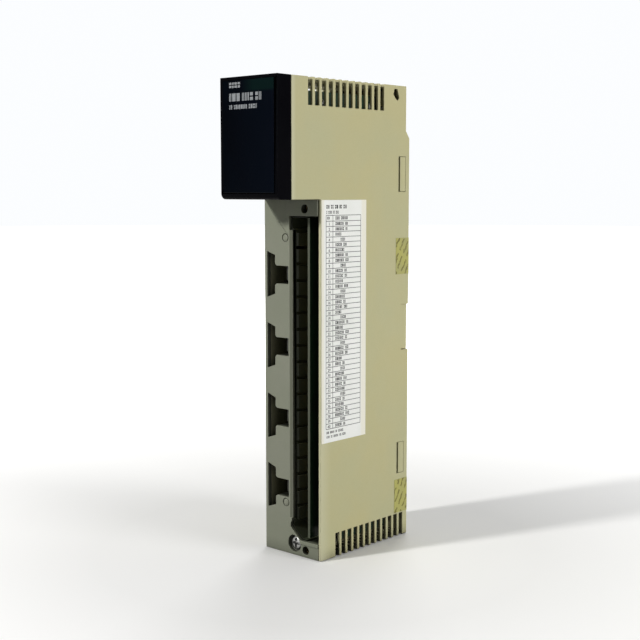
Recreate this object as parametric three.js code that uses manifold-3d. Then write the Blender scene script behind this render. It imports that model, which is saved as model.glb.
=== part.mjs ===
// A single-width rack module for a programmable controller: a tall, narrow plastic case that hangs on a
// backplane by its top rear edge, with a black indicator nose at the top front and, below it, the seat and
// edge connector for a plug-on terminal block. The terminal block and its door are separate parts.
//
// Millimetres. +Z is up, the front faces -Y, and the origin is the centre of the bounding box's base.

import * as THREE from "three";
import { mergeVertices } from "three/addons/utils/BufferGeometryUtils.js";
import Module from "manifold-3d";

const wasm = await Module();
wasm.setup();

// ---------------------------------------------------------------- driving dimensions

const WIDTH = 40.34;
const DEPTH = 104;
const HEIGHT = 250;

const GAP = 0.1; // between shells and covers that butt together
const SEAT = 0.03; // between a piece and the board or face that it is mounted on
const SIDE_WALL = 1.6;
const FLOOR_WALL = 1.4;

const HALF = WIDTH / 2;
const FRONT = -DEPTH / 2;
const REAR = DEPTH / 2;
const INNER = HALF - SIDE_WALL;

// Nose: the block at the top front. Its underside runs back from the cap by the length of its shelf.
const NOSE = { underside: 189.1, wall: 1.6, shelf: 26.7 };
const CAP = { depth: 10.2, wall: 1.8, rim: 0.3, front: 2, sill: 3, spigot: 3, spigotWall: 1.2 };
const CAP_BACK = FRONT + CAP.depth;

// Lower front: a plate set back behind the front of the nose.
const FIELD = { setBack: 31.6, plate: 2.6 };
const FACE = FRONT + FIELD.setBack;
const PLATE_BACK = FACE + FIELD.plate;
const FRAME_RIGHT = INNER - 0.14;
const REAR_STEP = { low: 222, high: 226, setBack: 3 }; // the rear face steps forward near the top

const TOP_VENTS = { count: 12, first: FRONT + 24, pitch: 5.12, width: 3, length: 14 };
const BASE_VENTS = { count: 12, first: FRONT + 44.9, pitch: 4.88, width: 3, length: 12.8 };
const VENT_REACH = 14; // how far a vent runs in from the side, over the top or the base

const LATCHES = [
  [193, 212],
  [36, 53.6],
];
const LATCH = { front: FRONT + 94.8, back: REAR - 3.2, slit: 1.2, play: 0.1, arm: 1.6 };
const GRIP = { low: 105.7, high: 130.9, front: REAR - 6, depth: 1.2 };
const COVER = { thick: 2.6, window: 0.6 };

// Places across the lower front are measured from the left side face.
const fromLeft = (x) => x - HALF;

const POCKETS = { count: 4, lowest: 35.2, pitch: 38.1, left: 1.8, knee: 7.5, right: 17.2, depth: 11, wall: 1.2 };
const POCKET_HALF = { left: 12.2, knee: 10.2, stub: 4.7 };
const CATCH = { left: 11.5, thick: 1.6, foot: 1.6, setBack: 2.2 };

const MOUTH = { left: 20, low: 8.8, high: 180.5, depth: 17, wall: 1.1 };
const MOUTH_NOTCH = { left: 18.8, low: 173.2 };
const MOUTH_BITE = { x: 21.9, z: 16.4, r: 2.8 };
const MOUTH_CORNER = 26.4; // the mouth's lower edge starts here, clear of the mounting screw
const LIP = { width: 2, proud: 0.7, slope: 1.2, slopeLow: 20 };
const CHANNEL_END = FACE + MOUTH.depth;

const TERMINAL_HOLES = { x: 29.5, low: 3.7, high: 184.3, r: 2.3 };
const INSERT = { r: 2.15, bore: 1.5, length: 8 };
const PINS = { x: 15.1, low: 27.5, high: 169.1, r: 1.9, well: 2.25, wellDepth: 0.6, proud: 0.15 };
const LINER = { fit: 0.05, wall: 0.8, inset: 2.4, endInset: 0.8, lowEnd: 19.6, right: 30.1 };
const COMB = { count: 18, first: 22.1, pitch: 8.6, height: 6.8, proud: 1.5, start: 0.2, length: 11 };

const SCREW = { x: 21.4, z: 6.2, headR: 3.3, recess: 0.9, head: 2.8, shankR: 1.95, bore: 2.25 };
const SCREW_TRAVEL = 6;
const SCREW_CUP = { mouthR: 4.65, r: 4.1, outerR: 4.7, floor: 1.2 };
const CUP_FLOOR = FACE + SCREW.recess + SCREW.head + SCREW_TRAVEL + 0.2;
const THREAD = { length: 9.8, root: 1.6, pitch: 1.4 };
const RING = { r: 3.5, bore: 2.02, thick: 0.8, play: 0.15 };

const BOARD = 1.6;
const FIELD_BOARD = { x: 30.6, low: 5, high: 244, rear: REAR - 8 };
const LOGIC_BOARD = { x: 8, low: 6, high: 244, front: FACE + 13.4, rear: REAR - 8 };
const BOARD_NOSE = { low: 194, front: CAP_BACK + 4 };
const BOARD_SHOULDER = { z: 224, rear: REAR - 17 }; // the boards' top rear corners clear the hanger rod
const TONGUE = { low: 10.9, high: 179.6, tip: FACE + 0.6, slot: 0.35 };
const SPACER = { r: 2.6, bossR: 3, screwR: 2.4, screwHead: 1.6 };
const SPACER_SPOTS = [
  [-1, 14],
  [38, 14],
  [-12, 238],
  [28, 238],
];

const PLUG = { left: 9.7, right: 23.7, low: 78, high: 172, front: REAR - 14, back: REAR - 0.8 };
const PLUG_SLOT = { width: 3, depth: 9, margin: 4 };
const PLUG_CONTACTS = { count: 20, thick: 0.3, height: 2, length: 7, carrier: 1 };
const HOOK_SLOTS = { offset: 9, width: 6, low: 229, high: 241 };
const HANGER = { r: 1.4, bore: 1.48, bossR: 3, z: 238.2, y: REAR - 9.5, boss: 3 };
const EARTH_CLIP = { left: -8, right: 4, low: 18, high: 34, thick: 0.4, bow: 1.12, well: 1.6 };

const LENS = { left: 2.15, right: 38.25, low: 192.4, high: 248.2, thick: 1.8, gap: 0.15 };
const FILM = { thick: 0.12, inset: 0.6 };
const BAFFLE = { front: FRONT + LENS.thick + 0.2, thick: 2.8, half: 16, low: 194.5, high: 243, play: 0.3 };
const LAMP = { width: 4.4, height: 2.2 };
const GUIDE_WEB = { front: BAFFLE.front + BAFFLE.thick + 0.3, thick: 1, margin: 2 };
const LAMP_BOARD = { front: CAP_BACK - 2, half: 15.5, low: 195.5, high: 242.5 };

const LABEL = { front: FACE + 0.5, back: FACE + 35.6, low: 62.7, high: 188.8, thick: 0.12 };
const SEAL = { front: FRONT + 92.6, back: REAR - 0.2, thick: 0.12 };
const SEALS = { upper: [147.9, 167.7], lower: [13.6, 32.6] };

const COLOUR = {
  beige: 0xc9c399,
  grey: 0x8f9281,
  black: 0x0b0d10,
  smoke: 0x080c14,
  darkGrey: 0x2a2b24,
  board: 0x3f5a3a,
  gold: 0xc9a23a,
  brass: 0xb9973f,
  steel: 0xb9bab6,
  paper: 0xf1f1ea,
  seal: 0xcfc765,
  chip: 0x17181a,
  ivory: 0xd9d4bd,
};

// ---------------------------------------------------------------- solids

// Turns a closed three.js geometry into a manifold solid that can be cut and joined.
function solid(geometry) {
  const bare = geometry.clone();
  bare.deleteAttribute("normal");
  bare.deleteAttribute("uv");
  const merged = mergeVertices(bare, 1e-4);
  return new wasm.Manifold(
    new wasm.Mesh({
      numProp: 3,
      vertProperties: merged.attributes.position.array,
      triVerts: new Uint32Array(merged.index.array),
    }),
  );
}

function geometryOf(made) {
  const mesh = made.getMesh();
  const geometry = new THREE.BufferGeometry();
  geometry.setAttribute("position", new THREE.BufferAttribute(mesh.vertProperties, 3));
  geometry.setIndex(new THREE.BufferAttribute(mesh.triVerts, 1));
  return geometry;
}

const join = (...solids) => solids.flat().reduce((sum, piece) => sum.add(piece));
const cut = (body, ...tools) => tools.flat().reduce((rest, tool) => rest.subtract(tool), body);

function box([x0, x1], [y0, y1], [z0, z1]) {
  const geometry = new THREE.BoxGeometry(x1 - x0, y1 - y0, z1 - z0);
  geometry.translate((x0 + x1) / 2, (y0 + y1) / 2, (z0 + z1) / 2);
  return solid(geometry);
}

function prism(outline, depth) {
  const shape = new THREE.Shape(outline.map(([a, b]) => new THREE.Vector2(a, b)));
  return new THREE.ExtrudeGeometry(shape, { depth, bevelEnabled: false });
}

// An outline of [y, z] points, swept from x0 to x1.
function sweepX(outline, x0, x1) {
  const geometry = prism(outline, x1 - x0);
  geometry.rotateZ(Math.PI / 2);
  geometry.rotateY(Math.PI / 2);
  geometry.translate(x0, 0, 0);
  return solid(geometry);
}

// An outline of [x, z] points, swept from y0 to y1.
function sweepY(outline, y0, y1) {
  const geometry = prism(outline, y1 - y0);
  geometry.rotateX(Math.PI / 2);
  geometry.translate(0, y1, 0);
  return solid(geometry);
}

// A round bar along Y.
function barY([x, z], r, [y0, y1], facets = 24) {
  const geometry = new THREE.CylinderGeometry(r, r, y1 - y0, facets);
  geometry.translate(x, (y0 + y1) / 2, z);
  return solid(geometry);
}

// A round bar along X.
function barX([y, z], r, [x0, x1], facets = 16) {
  const geometry = new THREE.CylinderGeometry(r, r, x1 - x0, facets);
  geometry.rotateZ(Math.PI / 2);
  geometry.translate((x0 + x1) / 2, y, z);
  return solid(geometry);
}

// A turned shape about an axis along Y. The profile's [radius, y] points run from the front to the rear.
function turnedY(profile, [x, z], facets) {
  const points = profile.map(([r, y]) => new THREE.Vector2(r, y));
  const geometry = new THREE.LatheGeometry(points, facets);
  geometry.translate(x, 0, z);
  return solid(geometry);
}

function unit([ax, az], [bx, bz]) {
  const length = Math.hypot(bx - ax, bz - az);
  return [(bx - ax) / length, (bz - az) / length];
}

// Moves each side of a clockwise outline outwards by d, keeping its corners sharp.
function grown(outline, d) {
  return outline.map((here, i) => {
    const [ax, az] = unit(outline.at(i - 1), here);
    const [bx, bz] = unit(here, outline[(i + 1) % outline.length]);
    const share = 1 + ax * bx + az * bz;
    return [here[0] - (d * (az + bz)) / share, here[1] + (d * (ax + bx)) / share];
  });
}

function arc([x, z], r, fromDegrees, toDegrees, steps) {
  const points = [];
  for (let i = 0; i <= steps; i += 1) {
    const angle = THREE.MathUtils.degToRad(fromDegrees + ((toDegrees - fromDegrees) * i) / steps);
    points.push([x + r * Math.cos(angle), z + r * Math.sin(angle)]);
  }
  return points;
}

// ---------------------------------------------------------------- case shells

// The two shells mirror each other, except that only the left one carries the boards' bosses, and the
// right one runs forward to the lower front, where it is the connector channel's outer wall.
function shell(side) {
  const frontEdge = PLATE_BACK + GAP;
  const shelfEnd = CAP_BACK + NOSE.shelf;
  const outline = [
    [CAP_BACK + GAP, NOSE.underside],
    [frontEdge, NOSE.underside],
    [frontEdge, 0],
    [REAR, 0],
    [REAR, REAR_STEP.low],
    [REAR - REAR_STEP.setBack, REAR_STEP.high],
    [REAR - REAR_STEP.setBack, HEIGHT],
    [CAP_BACK + GAP, HEIGHT],
  ];
  const ceiling = HEIGHT - SIDE_WALL;
  let body = cut(
    sweepX(outline, GAP / 2, HALF),
    box([-1, INNER], [FRONT, REAR + 1], [NOSE.underside + NOSE.wall, ceiling]),
    box([-1, INNER], [shelfEnd, REAR + 1], [FLOOR_WALL, ceiling]),
    box([-1, INNER], [FRONT, shelfEnd + 1], [FLOOR_WALL, NOSE.underside]),
  );
  if (side > 0) body = join(body, box([INNER, HALF], [FACE, frontEdge + 1], [0, NOSE.underside + 1]));
  else body = join(body, boardBosses());
  body = join(body, barX([HANGER.y, HANGER.z], HANGER.bossR, [INNER - HANGER.boss, INNER + 0.5]));
  const rodHole = barX([HANGER.y, HANGER.z], HANGER.bore, [0, HALF - 0.5]);
  body = cut(body, vents(), latchWindows(), sideEye(), rodHole);
  return side > 0 ? body : body.mirror([1, 0, 0]);
}

function boardBosses() {
  const reach = [-fromLeft(LOGIC_BOARD.x) + SEAT, INNER + 0.5];
  return SPACER_SPOTS.map((spot) => barX(spot, SPACER.bossR, reach, 12));
}

function vents() {
  const slots = [];
  const reach = [HALF - VENT_REACH, HALF + 1];
  for (let i = 0; i < TOP_VENTS.count; i += 1) {
    const y = TOP_VENTS.first + i * TOP_VENTS.pitch - TOP_VENTS.width / 2;
    slots.push(box(reach, [y, y + TOP_VENTS.width], [HEIGHT - TOP_VENTS.length, HEIGHT + 1]));
  }
  for (let i = 0; i < BASE_VENTS.count; i += 1) {
    const y = BASE_VENTS.first + i * BASE_VENTS.pitch - BASE_VENTS.width / 2;
    slots.push(box(reach, [y, y + BASE_VENTS.width], [-1, BASE_VENTS.length]));
  }
  return slots;
}

function latchWindows() {
  const through = [INNER - 1, HALF + 1];
  const windows = LATCHES.map((height) => box(through, [LATCH.front, LATCH.back], height));
  windows.push(box(through, [GRIP.front, REAR + 1], [GRIP.low, GRIP.high]));
  return windows;
}

// A small slanted opening beside the top rear corner, level with the backplane's hooks.
function sideEye() {
  const outline = [
    [37.9, 245],
    [38.9, 248],
    [41.2, 248],
    [41.9, 246],
    [42.8, 243.4],
    [41.6, 241.9],
    [39.3, 243.2],
  ];
  return sweepX(outline, INNER - 1, HALF + 1);
}

// ---------------------------------------------------------------- rear cover

// Closes the back between the shells, and snaps into their side windows by two arms on each side.
function rearCover() {
  const low = FLOOR_WALL + GAP;
  const high = HEIGHT - SIDE_WALL - GAP;
  const upper = REAR - REAR_STEP.setBack;
  const outline = [
    [REAR - COVER.thick, low],
    [REAR, low],
    [REAR, REAR_STEP.low],
    [upper, REAR_STEP.high],
    [upper, high],
    [upper - COVER.thick, high],
    [upper - COVER.thick, REAR_STEP.high],
    [REAR - COVER.thick, REAR_STEP.low],
  ];
  const edge = INNER - GAP;
  const wings = coverWings(edge);
  const body = join(sweepX(outline, -edge, edge), wings, wings.mirror([1, 0, 0]));
  const through = [REAR - 8, REAR + 1];
  const plugX = [fromLeft(PLUG.left) - COVER.window, fromLeft(PLUG.right) + COVER.window];
  const { left, right, low: clipLow, high: clipHigh, well } = EARTH_CLIP;
  return cut(
    body,
    box(plugX, through, [PLUG.low - COVER.window, PLUG.high + COVER.window]),
    hookSlot(-HOOK_SLOTS.offset, through),
    hookSlot(HOOK_SLOTS.offset, through),
    box([left - 0.3, right + 0.3], [REAR - well, REAR + 1], [clipLow - 1, clipHigh + 1]),
    barY([fromLeft(SCREW.x), SCREW.z], SCREW.bore, through),
  );
}

function hookSlot(x, through) {
  return box([x - HOOK_SLOTS.width / 2, x + HOOK_SLOTS.width / 2], through, [HOOK_SLOTS.low, HOOK_SLOTS.high]);
}

// The snap arms and the grip lug of one side.
function coverWings(edge) {
  const front = LATCH.front + LATCH.slit;
  const arms = LATCHES.map(([low, high]) => {
    const height = [low + LATCH.play, high - LATCH.play];
    const arm = box([edge - LATCH.arm, edge], [front, REAR - 1], height);
    const hook = box([edge - 0.5, HALF - 0.05], [front, LATCH.back - LATCH.play], height);
    return join(arm, hook);
  });
  const lug = box(
    [edge - LATCH.arm, HALF - GRIP.depth],
    [GRIP.front + LATCH.play, REAR],
    [GRIP.low + LATCH.play, GRIP.high - LATCH.play],
  );
  return join(arms, lug);
}

// ---------------------------------------------------------------- lower front

function pocketHeights() {
  const heights = [];
  for (let i = 0; i < POCKETS.count; i += 1) heights.push(POCKETS.lowest + i * POCKETS.pitch);
  return heights;
}

// A keying pocket's outline: a tall bay against the left wall, with a short stub running to the right.
function pocketOutline(z, grow = 0) {
  const { left, knee, right } = POCKETS;
  const half = POCKET_HALF;
  const above = [
    [left, half.left + grow],
    [knee + grow, half.knee + grow],
    [knee + grow, half.stub + 1 + grow],
    [knee + 1 + grow, half.stub + grow],
    [right + grow, half.stub + grow],
  ];
  const below = above.map(([x, h]) => [x, -h]).reverse();
  return [...above, ...below].map(([x, h]) => [fromLeft(x), z + h]);
}

// The connector channel's mouth, clockwise. It is open on the right, where the right shell closes it,
// and skirts the mounting screw at its lower left corner.
function mouthOutline() {
  const points = [
    [WIDTH, MOUTH.high],
    [WIDTH, MOUTH.low],
    [MOUTH_CORNER, MOUTH.low],
    ...arc([MOUTH_BITE.x, MOUTH_BITE.z], MOUTH_BITE.r, 228, 132, 6),
    [MOUTH.left, MOUTH_NOTCH.low],
    [MOUTH_NOTCH.left, MOUTH_NOTCH.low],
    [MOUTH_NOTCH.left, MOUTH.high],
  ];
  return points.map(([x, z]) => [fromLeft(x), z]);
}

// The grey plate that the terminal block seats on, with the channel, pockets and screw cup behind it.
function frontFrame() {
  const top = NOSE.underside - GAP;
  const plateIn = PLATE_BACK - 0.5;
  const mouth = mouthOutline();
  const keep = box([-HALF, FRAME_RIGHT], [FRONT, REAR], [0, top]);
  const ledgeX = [fromLeft(MOUTH_NOTCH.left - LIP.width), FRAME_RIGHT];
  const walls = join(
    sweepY(grown(mouth, LIP.width), FACE - LIP.proud, FACE + 0.5),
    sweepY(grown(mouth, MOUTH.wall), plateIn, CHANNEL_END),
    box(ledgeX, [FACE - LIP.proud, FACE + 0.5], [MOUTH.high, top]),
    barY(screwAxis(), SCREW_CUP.outerR, [plateIn, CUP_FLOOR + SCREW_CUP.floor]),
    pocketHeights().map((z) => sweepY(pocketOutline(z, POCKETS.wall), plateIn, FACE + POCKETS.depth)),
  );
  const plate = box([-HALF, FRAME_RIGHT], [FACE, PLATE_BACK], [0, top]);
  const block = cut(join(plate, walls.intersect(keep)), sweepY(mouth, FRONT, CHANNEL_END - MOUTH.wall));
  const tunnels = pocketHeights().map((z) => sweepY(pocketOutline(z), FRONT, REAR));
  const webs = pocketHeights().map(catchWeb);
  return cut(join(cut(block, tunnels), webs), lipSlope(), tongueSlot(), screwWell(), frameHoles());
}

// A web across the right end of a pocket's stub, open below, that the terminal block's key hooks behind.
function catchWeb(z) {
  const width = [fromLeft(CATCH.left), fromLeft(POCKETS.right + 0.6)];
  const low = z - POCKET_HALF.stub + CATCH.foot;
  const front = PLATE_BACK + CATCH.setBack;
  return box(width, [front, front + CATCH.thick], [low, z + POCKET_HALF.stub + 0.6]);
}

// The bar that slopes the left lip's inner edge by 45 degrees.
function lipSlope() {
  const side = LIP.slope * Math.SQRT2;
  const geometry = new THREE.BoxGeometry(side, side, MOUTH_NOTCH.low - LIP.slopeLow);
  geometry.rotateZ(Math.PI / 4);
  geometry.translate(fromLeft(MOUTH.left), FACE - LIP.proud, (MOUTH_NOTCH.low + LIP.slopeLow) / 2);
  return solid(geometry);
}

function tongueSlot() {
  const x = fromLeft(FIELD_BOARD.x);
  return box(
    [x - TONGUE.slot, x + BOARD + TONGUE.slot],
    [CHANNEL_END - 3, CHANNEL_END + 1],
    [TONGUE.low - TONGUE.slot, TONGUE.high + TONGUE.slot],
  );
}

const screwAxis = () => [fromLeft(SCREW.x), SCREW.z];

function screwWell() {
  return join(
    barY(screwAxis(), SCREW_CUP.mouthR, [FRONT, PLATE_BACK - 0.4]),
    barY(screwAxis(), SCREW_CUP.r, [FRONT, CUP_FLOOR]),
    barY(screwAxis(), SCREW.bore, [FRONT, CUP_FLOOR + 2 * SCREW_CUP.floor]),
  );
}

function frameHoles() {
  const { x, low, high, r } = TERMINAL_HOLES;
  const screwHoles = [low, high].map((z) => barY([fromLeft(x), z], r, [FRONT, PLATE_BACK + 1], 20));
  const wells = [PINS.low, PINS.high].map((z) =>
    barY([fromLeft(PINS.x), z], PINS.well, [FRONT, FACE + PINS.wellDepth], 20),
  );
  return [...screwHoles, ...wells];
}

// A domed pin head, seated in its well.
function framePin(z) {
  const profile = [
    [0, FACE - PINS.proud],
    [PINS.r * 0.7, FACE - 0.05],
    [PINS.r, FACE + 0.2],
    [PINS.r, FACE + PINS.wellDepth - SEAT],
    [0, FACE + PINS.wellDepth - SEAT],
  ];
  return turnedY(profile, [fromLeft(PINS.x), z], 16);
}

// A threaded brass insert behind a terminal-block screw hole.
function terminalInsert(z) {
  const axis = [fromLeft(TERMINAL_HOLES.x), z];
  const front = PLATE_BACK + SEAT;
  return cut(
    barY(axis, INSERT.r, [front, front + INSERT.length], 16),
    barY(axis, INSERT.bore, [front - 1, front + INSERT.length + 1], 16),
  );
}

// A dark tray that lines the channel left of the board's edge. Its front stands back from the mouth, except
// at both ends, and ribs run down its left wall in line with the contacts.
function channelLiner() {
  const { fit, wall, inset, endInset, lowEnd, right } = LINER;
  const mouth = mouthOutline();
  const back = CHANNEL_END - MOUTH.wall - fit;
  const outer = sweepY(grown(mouth, -fit), FACE + endInset, back);
  const hollow = sweepY(grown(mouth, -fit - wall), FRONT, back - wall);
  const beyond = box([fromLeft(right), WIDTH], [FRONT, REAR], [0, HEIGHT]);
  const step = box([-HALF, WIDTH], [FRONT, FACE + inset], [lowEnd, MOUTH_NOTCH.low]);
  return join(cut(outer, hollow, beyond, step), linerRibs());
}

function linerRibs() {
  const left = fromLeft(MOUTH.left) + LINER.fit + LINER.wall;
  const front = FACE + LINER.inset + COMB.start;
  const ribs = [];
  for (let i = 0; i < COMB.count; i += 1) {
    const z = COMB.first + i * COMB.pitch - COMB.height / 2;
    ribs.push(box([left - 0.3, left + COMB.proud], [front, front + COMB.length], [z, z + COMB.height]));
  }
  return ribs;
}

// ---------------------------------------------------------------- nose

function noseCap() {
  const rim = FRONT + CAP.rim;
  const sill = arc([rim + CAP.sill, NOSE.underside + CAP.sill], CAP.sill, 270, 180, 6);
  const outline = [[CAP_BACK, NOSE.underside], ...sill, [rim, HEIGHT], [CAP_BACK, HEIGHT]];
  const outer = INNER - GAP;
  const spigotY = [CAP_BACK - 2, CAP_BACK + CAP.spigot];
  const spigotZ = [NOSE.underside + NOSE.wall + GAP, HEIGHT - SIDE_WALL - GAP];
  const wall = CAP.spigotWall;
  const spigot = cut(
    box([-outer, outer], spigotY, spigotZ),
    box([wall - outer, outer - wall], [FRONT, REAR], [spigotZ[0] + wall, spigotZ[1] - wall]),
  );
  const hollow = box(
    [CAP.wall - HALF, HALF - CAP.wall],
    [rim + CAP.front, CAP_BACK + 1],
    [NOSE.underside + CAP.wall, HEIGHT - CAP.wall],
  );
  const window = box(
    [fromLeft(LENS.left) - LENS.gap, fromLeft(LENS.right) + LENS.gap],
    [FRONT - 1, FRONT + CAP.front + 1],
    [LENS.low - LENS.gap, LENS.high + LENS.gap],
  );
  return join(cut(sweepX(outline, -HALF, HALF), hollow, window), spigot);
}

function lens() {
  const width = [fromLeft(LENS.left), fromLeft(LENS.right)];
  return box(width, [FRONT, FRONT + LENS.thick], [LENS.low, LENS.high]);
}

// A printed film between the lens and the light baffle.
function legendFilm() {
  const front = FRONT + LENS.thick + (BAFFLE.front - FRONT - LENS.thick - FILM.thick) / 2;
  return box(
    [fromLeft(LENS.left) + FILM.inset, fromLeft(LENS.right) - FILM.inset],
    [front, front + FILM.thick],
    [LENS.low + FILM.inset, LENS.high - FILM.inset],
  );
}

// Indicator positions: a row of three status lamps, over two columns of eight channel lamps.
function lampSpots() {
  const spots = [-10, 0, 10].map((x) => [x, 238]);
  for (let row = 0; row < 8; row += 1) {
    const z = 229 - row * 4.4;
    spots.push([-7, z], [7, z]);
  }
  return spots;
}

function lampBlock([x, z], depth, grow = 0) {
  const halfWidth = LAMP.width / 2 + grow;
  const halfHeight = LAMP.height / 2 + grow;
  return box([x - halfWidth, x + halfWidth], depth, [z - halfHeight, z + halfHeight]);
}

function lightBaffle() {
  const { front, thick, half, low, high, play } = BAFFLE;
  const depth = [front - 1, front + thick + 1];
  const holes = lampSpots().map((spot) => lampBlock(spot, depth, play));
  return cut(box([-half, half], [front, front + thick], [low, high]), holes);
}

// One clear moulding: a web with a light pipe for each lamp.
function lightGuide() {
  const { front, thick, margin } = GUIDE_WEB;
  const half = BAFFLE.half - margin;
  const web = box([-half, half], [front, front + thick], [BAFFLE.low + margin, BAFFLE.high - margin]);
  const pipes = lampSpots().map((spot) => lampBlock(spot, [BAFFLE.front + 0.6, front + thick + 0.4]));
  return join(web, pipes);
}

function lampBoard() {
  const { front, half, low, high } = LAMP_BOARD;
  return box([-half, half], [front, front + BOARD], [low, high]);
}

// ---------------------------------------------------------------- boards

// The field board's front edge is a tongue that stands in the connector channel.
function fieldBoard() {
  const back = CHANNEL_END + 1.2;
  const { x, low, high, rear } = FIELD_BOARD;
  const outline = [
    [TONGUE.tip, TONGUE.low],
    [back, TONGUE.low],
    [back, low],
    [rear, low],
    [rear, BOARD_SHOULDER.z],
    [BOARD_SHOULDER.rear, BOARD_SHOULDER.z],
    [BOARD_SHOULDER.rear, high],
    [BOARD_NOSE.front, high],
    [BOARD_NOSE.front, BOARD_NOSE.low],
    [back, BOARD_NOSE.low],
    [back, TONGUE.high],
    [TONGUE.tip, TONGUE.high],
  ];
  return sweepX(outline, fromLeft(x), fromLeft(x) + BOARD);
}

function logicBoard() {
  const { x, low, high, front, rear } = LOGIC_BOARD;
  const outline = [
    [front, low],
    [rear, low],
    [rear, BOARD_SHOULDER.z],
    [BOARD_SHOULDER.rear, BOARD_SHOULDER.z],
    [BOARD_SHOULDER.rear, high],
    [BOARD_NOSE.front, high],
    [BOARD_NOSE.front, BOARD_NOSE.low],
    [front, BOARD_NOSE.low],
  ];
  return sweepX(outline, fromLeft(x), fromLeft(x) + BOARD);
}

// The faces of the two boards that look at each other.
const LOGIC_FACE = fromLeft(LOGIC_BOARD.x) + BOARD + SEAT;
const FIELD_FACE = fromLeft(FIELD_BOARD.x) - SEAT;

// A block on a board's inner face, by its low corner [y, z], its size along Y and Z, and its thickness.
const onLogicBoard = ([y, z], [length, height], thick) =>
  box([LOGIC_FACE, LOGIC_FACE + thick], [y, y + length], [z, z + height]);
const onFieldBoard = ([y, z], [length, height], thick) =>
  box([FIELD_FACE - thick, FIELD_FACE], [y, y + length], [z, z + height]);

const boardSpacer = (spot) => barX(spot, SPACER.r, [LOGIC_FACE, FIELD_FACE], 6);

function boardScrew(spot) {
  const x = fromLeft(FIELD_BOARD.x) + BOARD + SEAT;
  return barX(spot, SPACER.screwR, [x, x + SPACER.screwHead], 12);
}

const CAPACITOR = { r: 5, length: 13 };
const CAPACITOR_SPOTS = [
  [-22, 204],
  [-22, 218],
  [26, 214],
];
const capacitor = (spot) => barX(spot, CAPACITOR.r, [LOGIC_FACE, LOGIC_FACE + CAPACITOR.length], 20);

// One isolating amplifier for each channel, up the field board.
const ISOLATORS = { count: 8, y: 2, first: 26, pitch: 18.5, size: [13, 13], thick: 8 };
const isolator = (i) =>
  onFieldBoard([ISOLATORS.y, ISOLATORS.first + i * ISOLATORS.pitch], ISOLATORS.size, ISOLATORS.thick);

// The plug and socket that join the two boards meet half way.
const LINK = { low: [24, 96], size: [6, 48], thick: (FIELD_FACE - LOGIC_FACE) / 2 - SEAT };

// Joins the lamp board to the logic board's front edge.
function lampHeader() {
  const front = LAMP_BOARD.front + BOARD + SEAT;
  return box([LOGIC_FACE, LOGIC_FACE + 5], [front, BOARD_NOSE.front + 6], [206, 232]);
}

// ---------------------------------------------------------------- backplane side

function backplanePlug() {
  const width = [fromLeft(PLUG.left), fromLeft(PLUG.right)];
  const middle = (width[0] + width[1]) / 2;
  const slot = box(
    [middle - PLUG_SLOT.width / 2, middle + PLUG_SLOT.width / 2],
    [PLUG.back - PLUG_SLOT.depth, PLUG.back + 1],
    [PLUG.low + PLUG_SLOT.margin, PLUG.high - PLUG_SLOT.margin],
  );
  return cut(box(width, [PLUG.front, PLUG.back], [PLUG.low, PLUG.high]), slot);
}

// A row of contact leaves on their carrier, down one side of the plug's slot.
function plugContacts(side) {
  const { count, thick, height, length, carrier } = PLUG_CONTACTS;
  const middle = fromLeft((PLUG.left + PLUG.right) / 2);
  const outer = middle + side * (PLUG_SLOT.width / 2 - SEAT);
  const width = [outer, outer - side * thick].sort((a, b) => a - b);
  const low = PLUG.low + PLUG_SLOT.margin + 1;
  const high = PLUG.high - PLUG_SLOT.margin - 1;
  const pitch = (high - low) / count;
  const start = PLUG.back - PLUG_SLOT.depth + SEAT;
  const leaves = [];
  for (let i = 0; i < count; i += 1) {
    const z = low + (i + 0.5) * pitch - height / 2;
    leaves.push(box(width, [start, start + length], [z, z + height]));
  }
  return join(box(width, [start, start + carrier], [low, high]), leaves);
}

const hangerRod = () => barX([HANGER.y, HANGER.z], HANGER.r, [0.8 - HALF, HALF - 0.8]);

// A bowed leaf that touches the backplane's earth strip when the module is screwed home.
function earthClip() {
  const { left, right, low, high, thick, bow, well } = EARTH_CLIP;
  const steps = 8;
  const crest = [];
  for (let i = 0; i <= steps; i += 1) {
    const share = i / steps;
    crest.push([REAR - well + SEAT + bow * Math.sin(Math.PI * share), low + share * (high - low)]);
  }
  const outer = crest.map(([y, z]) => [y + thick, z]).reverse();
  return sweepX([...crest, ...outer], left, right);
}

// ---------------------------------------------------------------- mounting screw

// A long captive screw. It is drawn out, as it is when the module is off the backplane.
function mountingScrew() {
  const front = FACE + SCREW.recess;
  const tip = REAR - 1;
  const threadStart = tip - THREAD.length;
  const { headR, shankR, head } = SCREW;
  const profile = [
    [0, front],
    [headR * 0.55, front + 0.25],
    [headR * 0.86, front + 0.8],
    [headR, front + 1.5],
    [headR, front + head],
    [shankR, front + head],
    [shankR, threadStart],
  ];
  for (let y = threadStart; y < tip - THREAD.pitch; y += THREAD.pitch) {
    profile.push([THREAD.root, y + THREAD.pitch / 2], [shankR, y + THREAD.pitch]);
  }
  profile.push([1, tip], [0, tip]);
  return cut(turnedY(profile, screwAxis(), 20), crossRecess(front));
}

function crossRecess(front) {
  const [x, z] = screwAxis();
  const long = 1.75;
  const half = 0.45;
  const depth = [front - 1, front + 1.7];
  return [
    box([x - long, x + long], depth, [z - half, z + half]),
    box([x - half, x + half], depth, [z - long, z + long]),
  ];
}

// Keeps the screw captive behind the cup's floor, and goes in with it.
function retainingRing() {
  const front = CUP_FLOOR + SCREW_CUP.floor + RING.play;
  const back = front + RING.thick;
  return cut(
    barY(screwAxis(), RING.r, [front, back], 20),
    barY(screwAxis(), RING.bore, [front - 1, back + 1], 20),
  );
}

// ---------------------------------------------------------------- labels

// A printed sheet stuck to the right side face.
const sticker = ({ front, back, thick }, height) =>
  box([HALF + SEAT, HALF + SEAT + thick], [front, back], height);

// ---------------------------------------------------------------- assembly

const plcModule = new THREE.Group();

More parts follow.
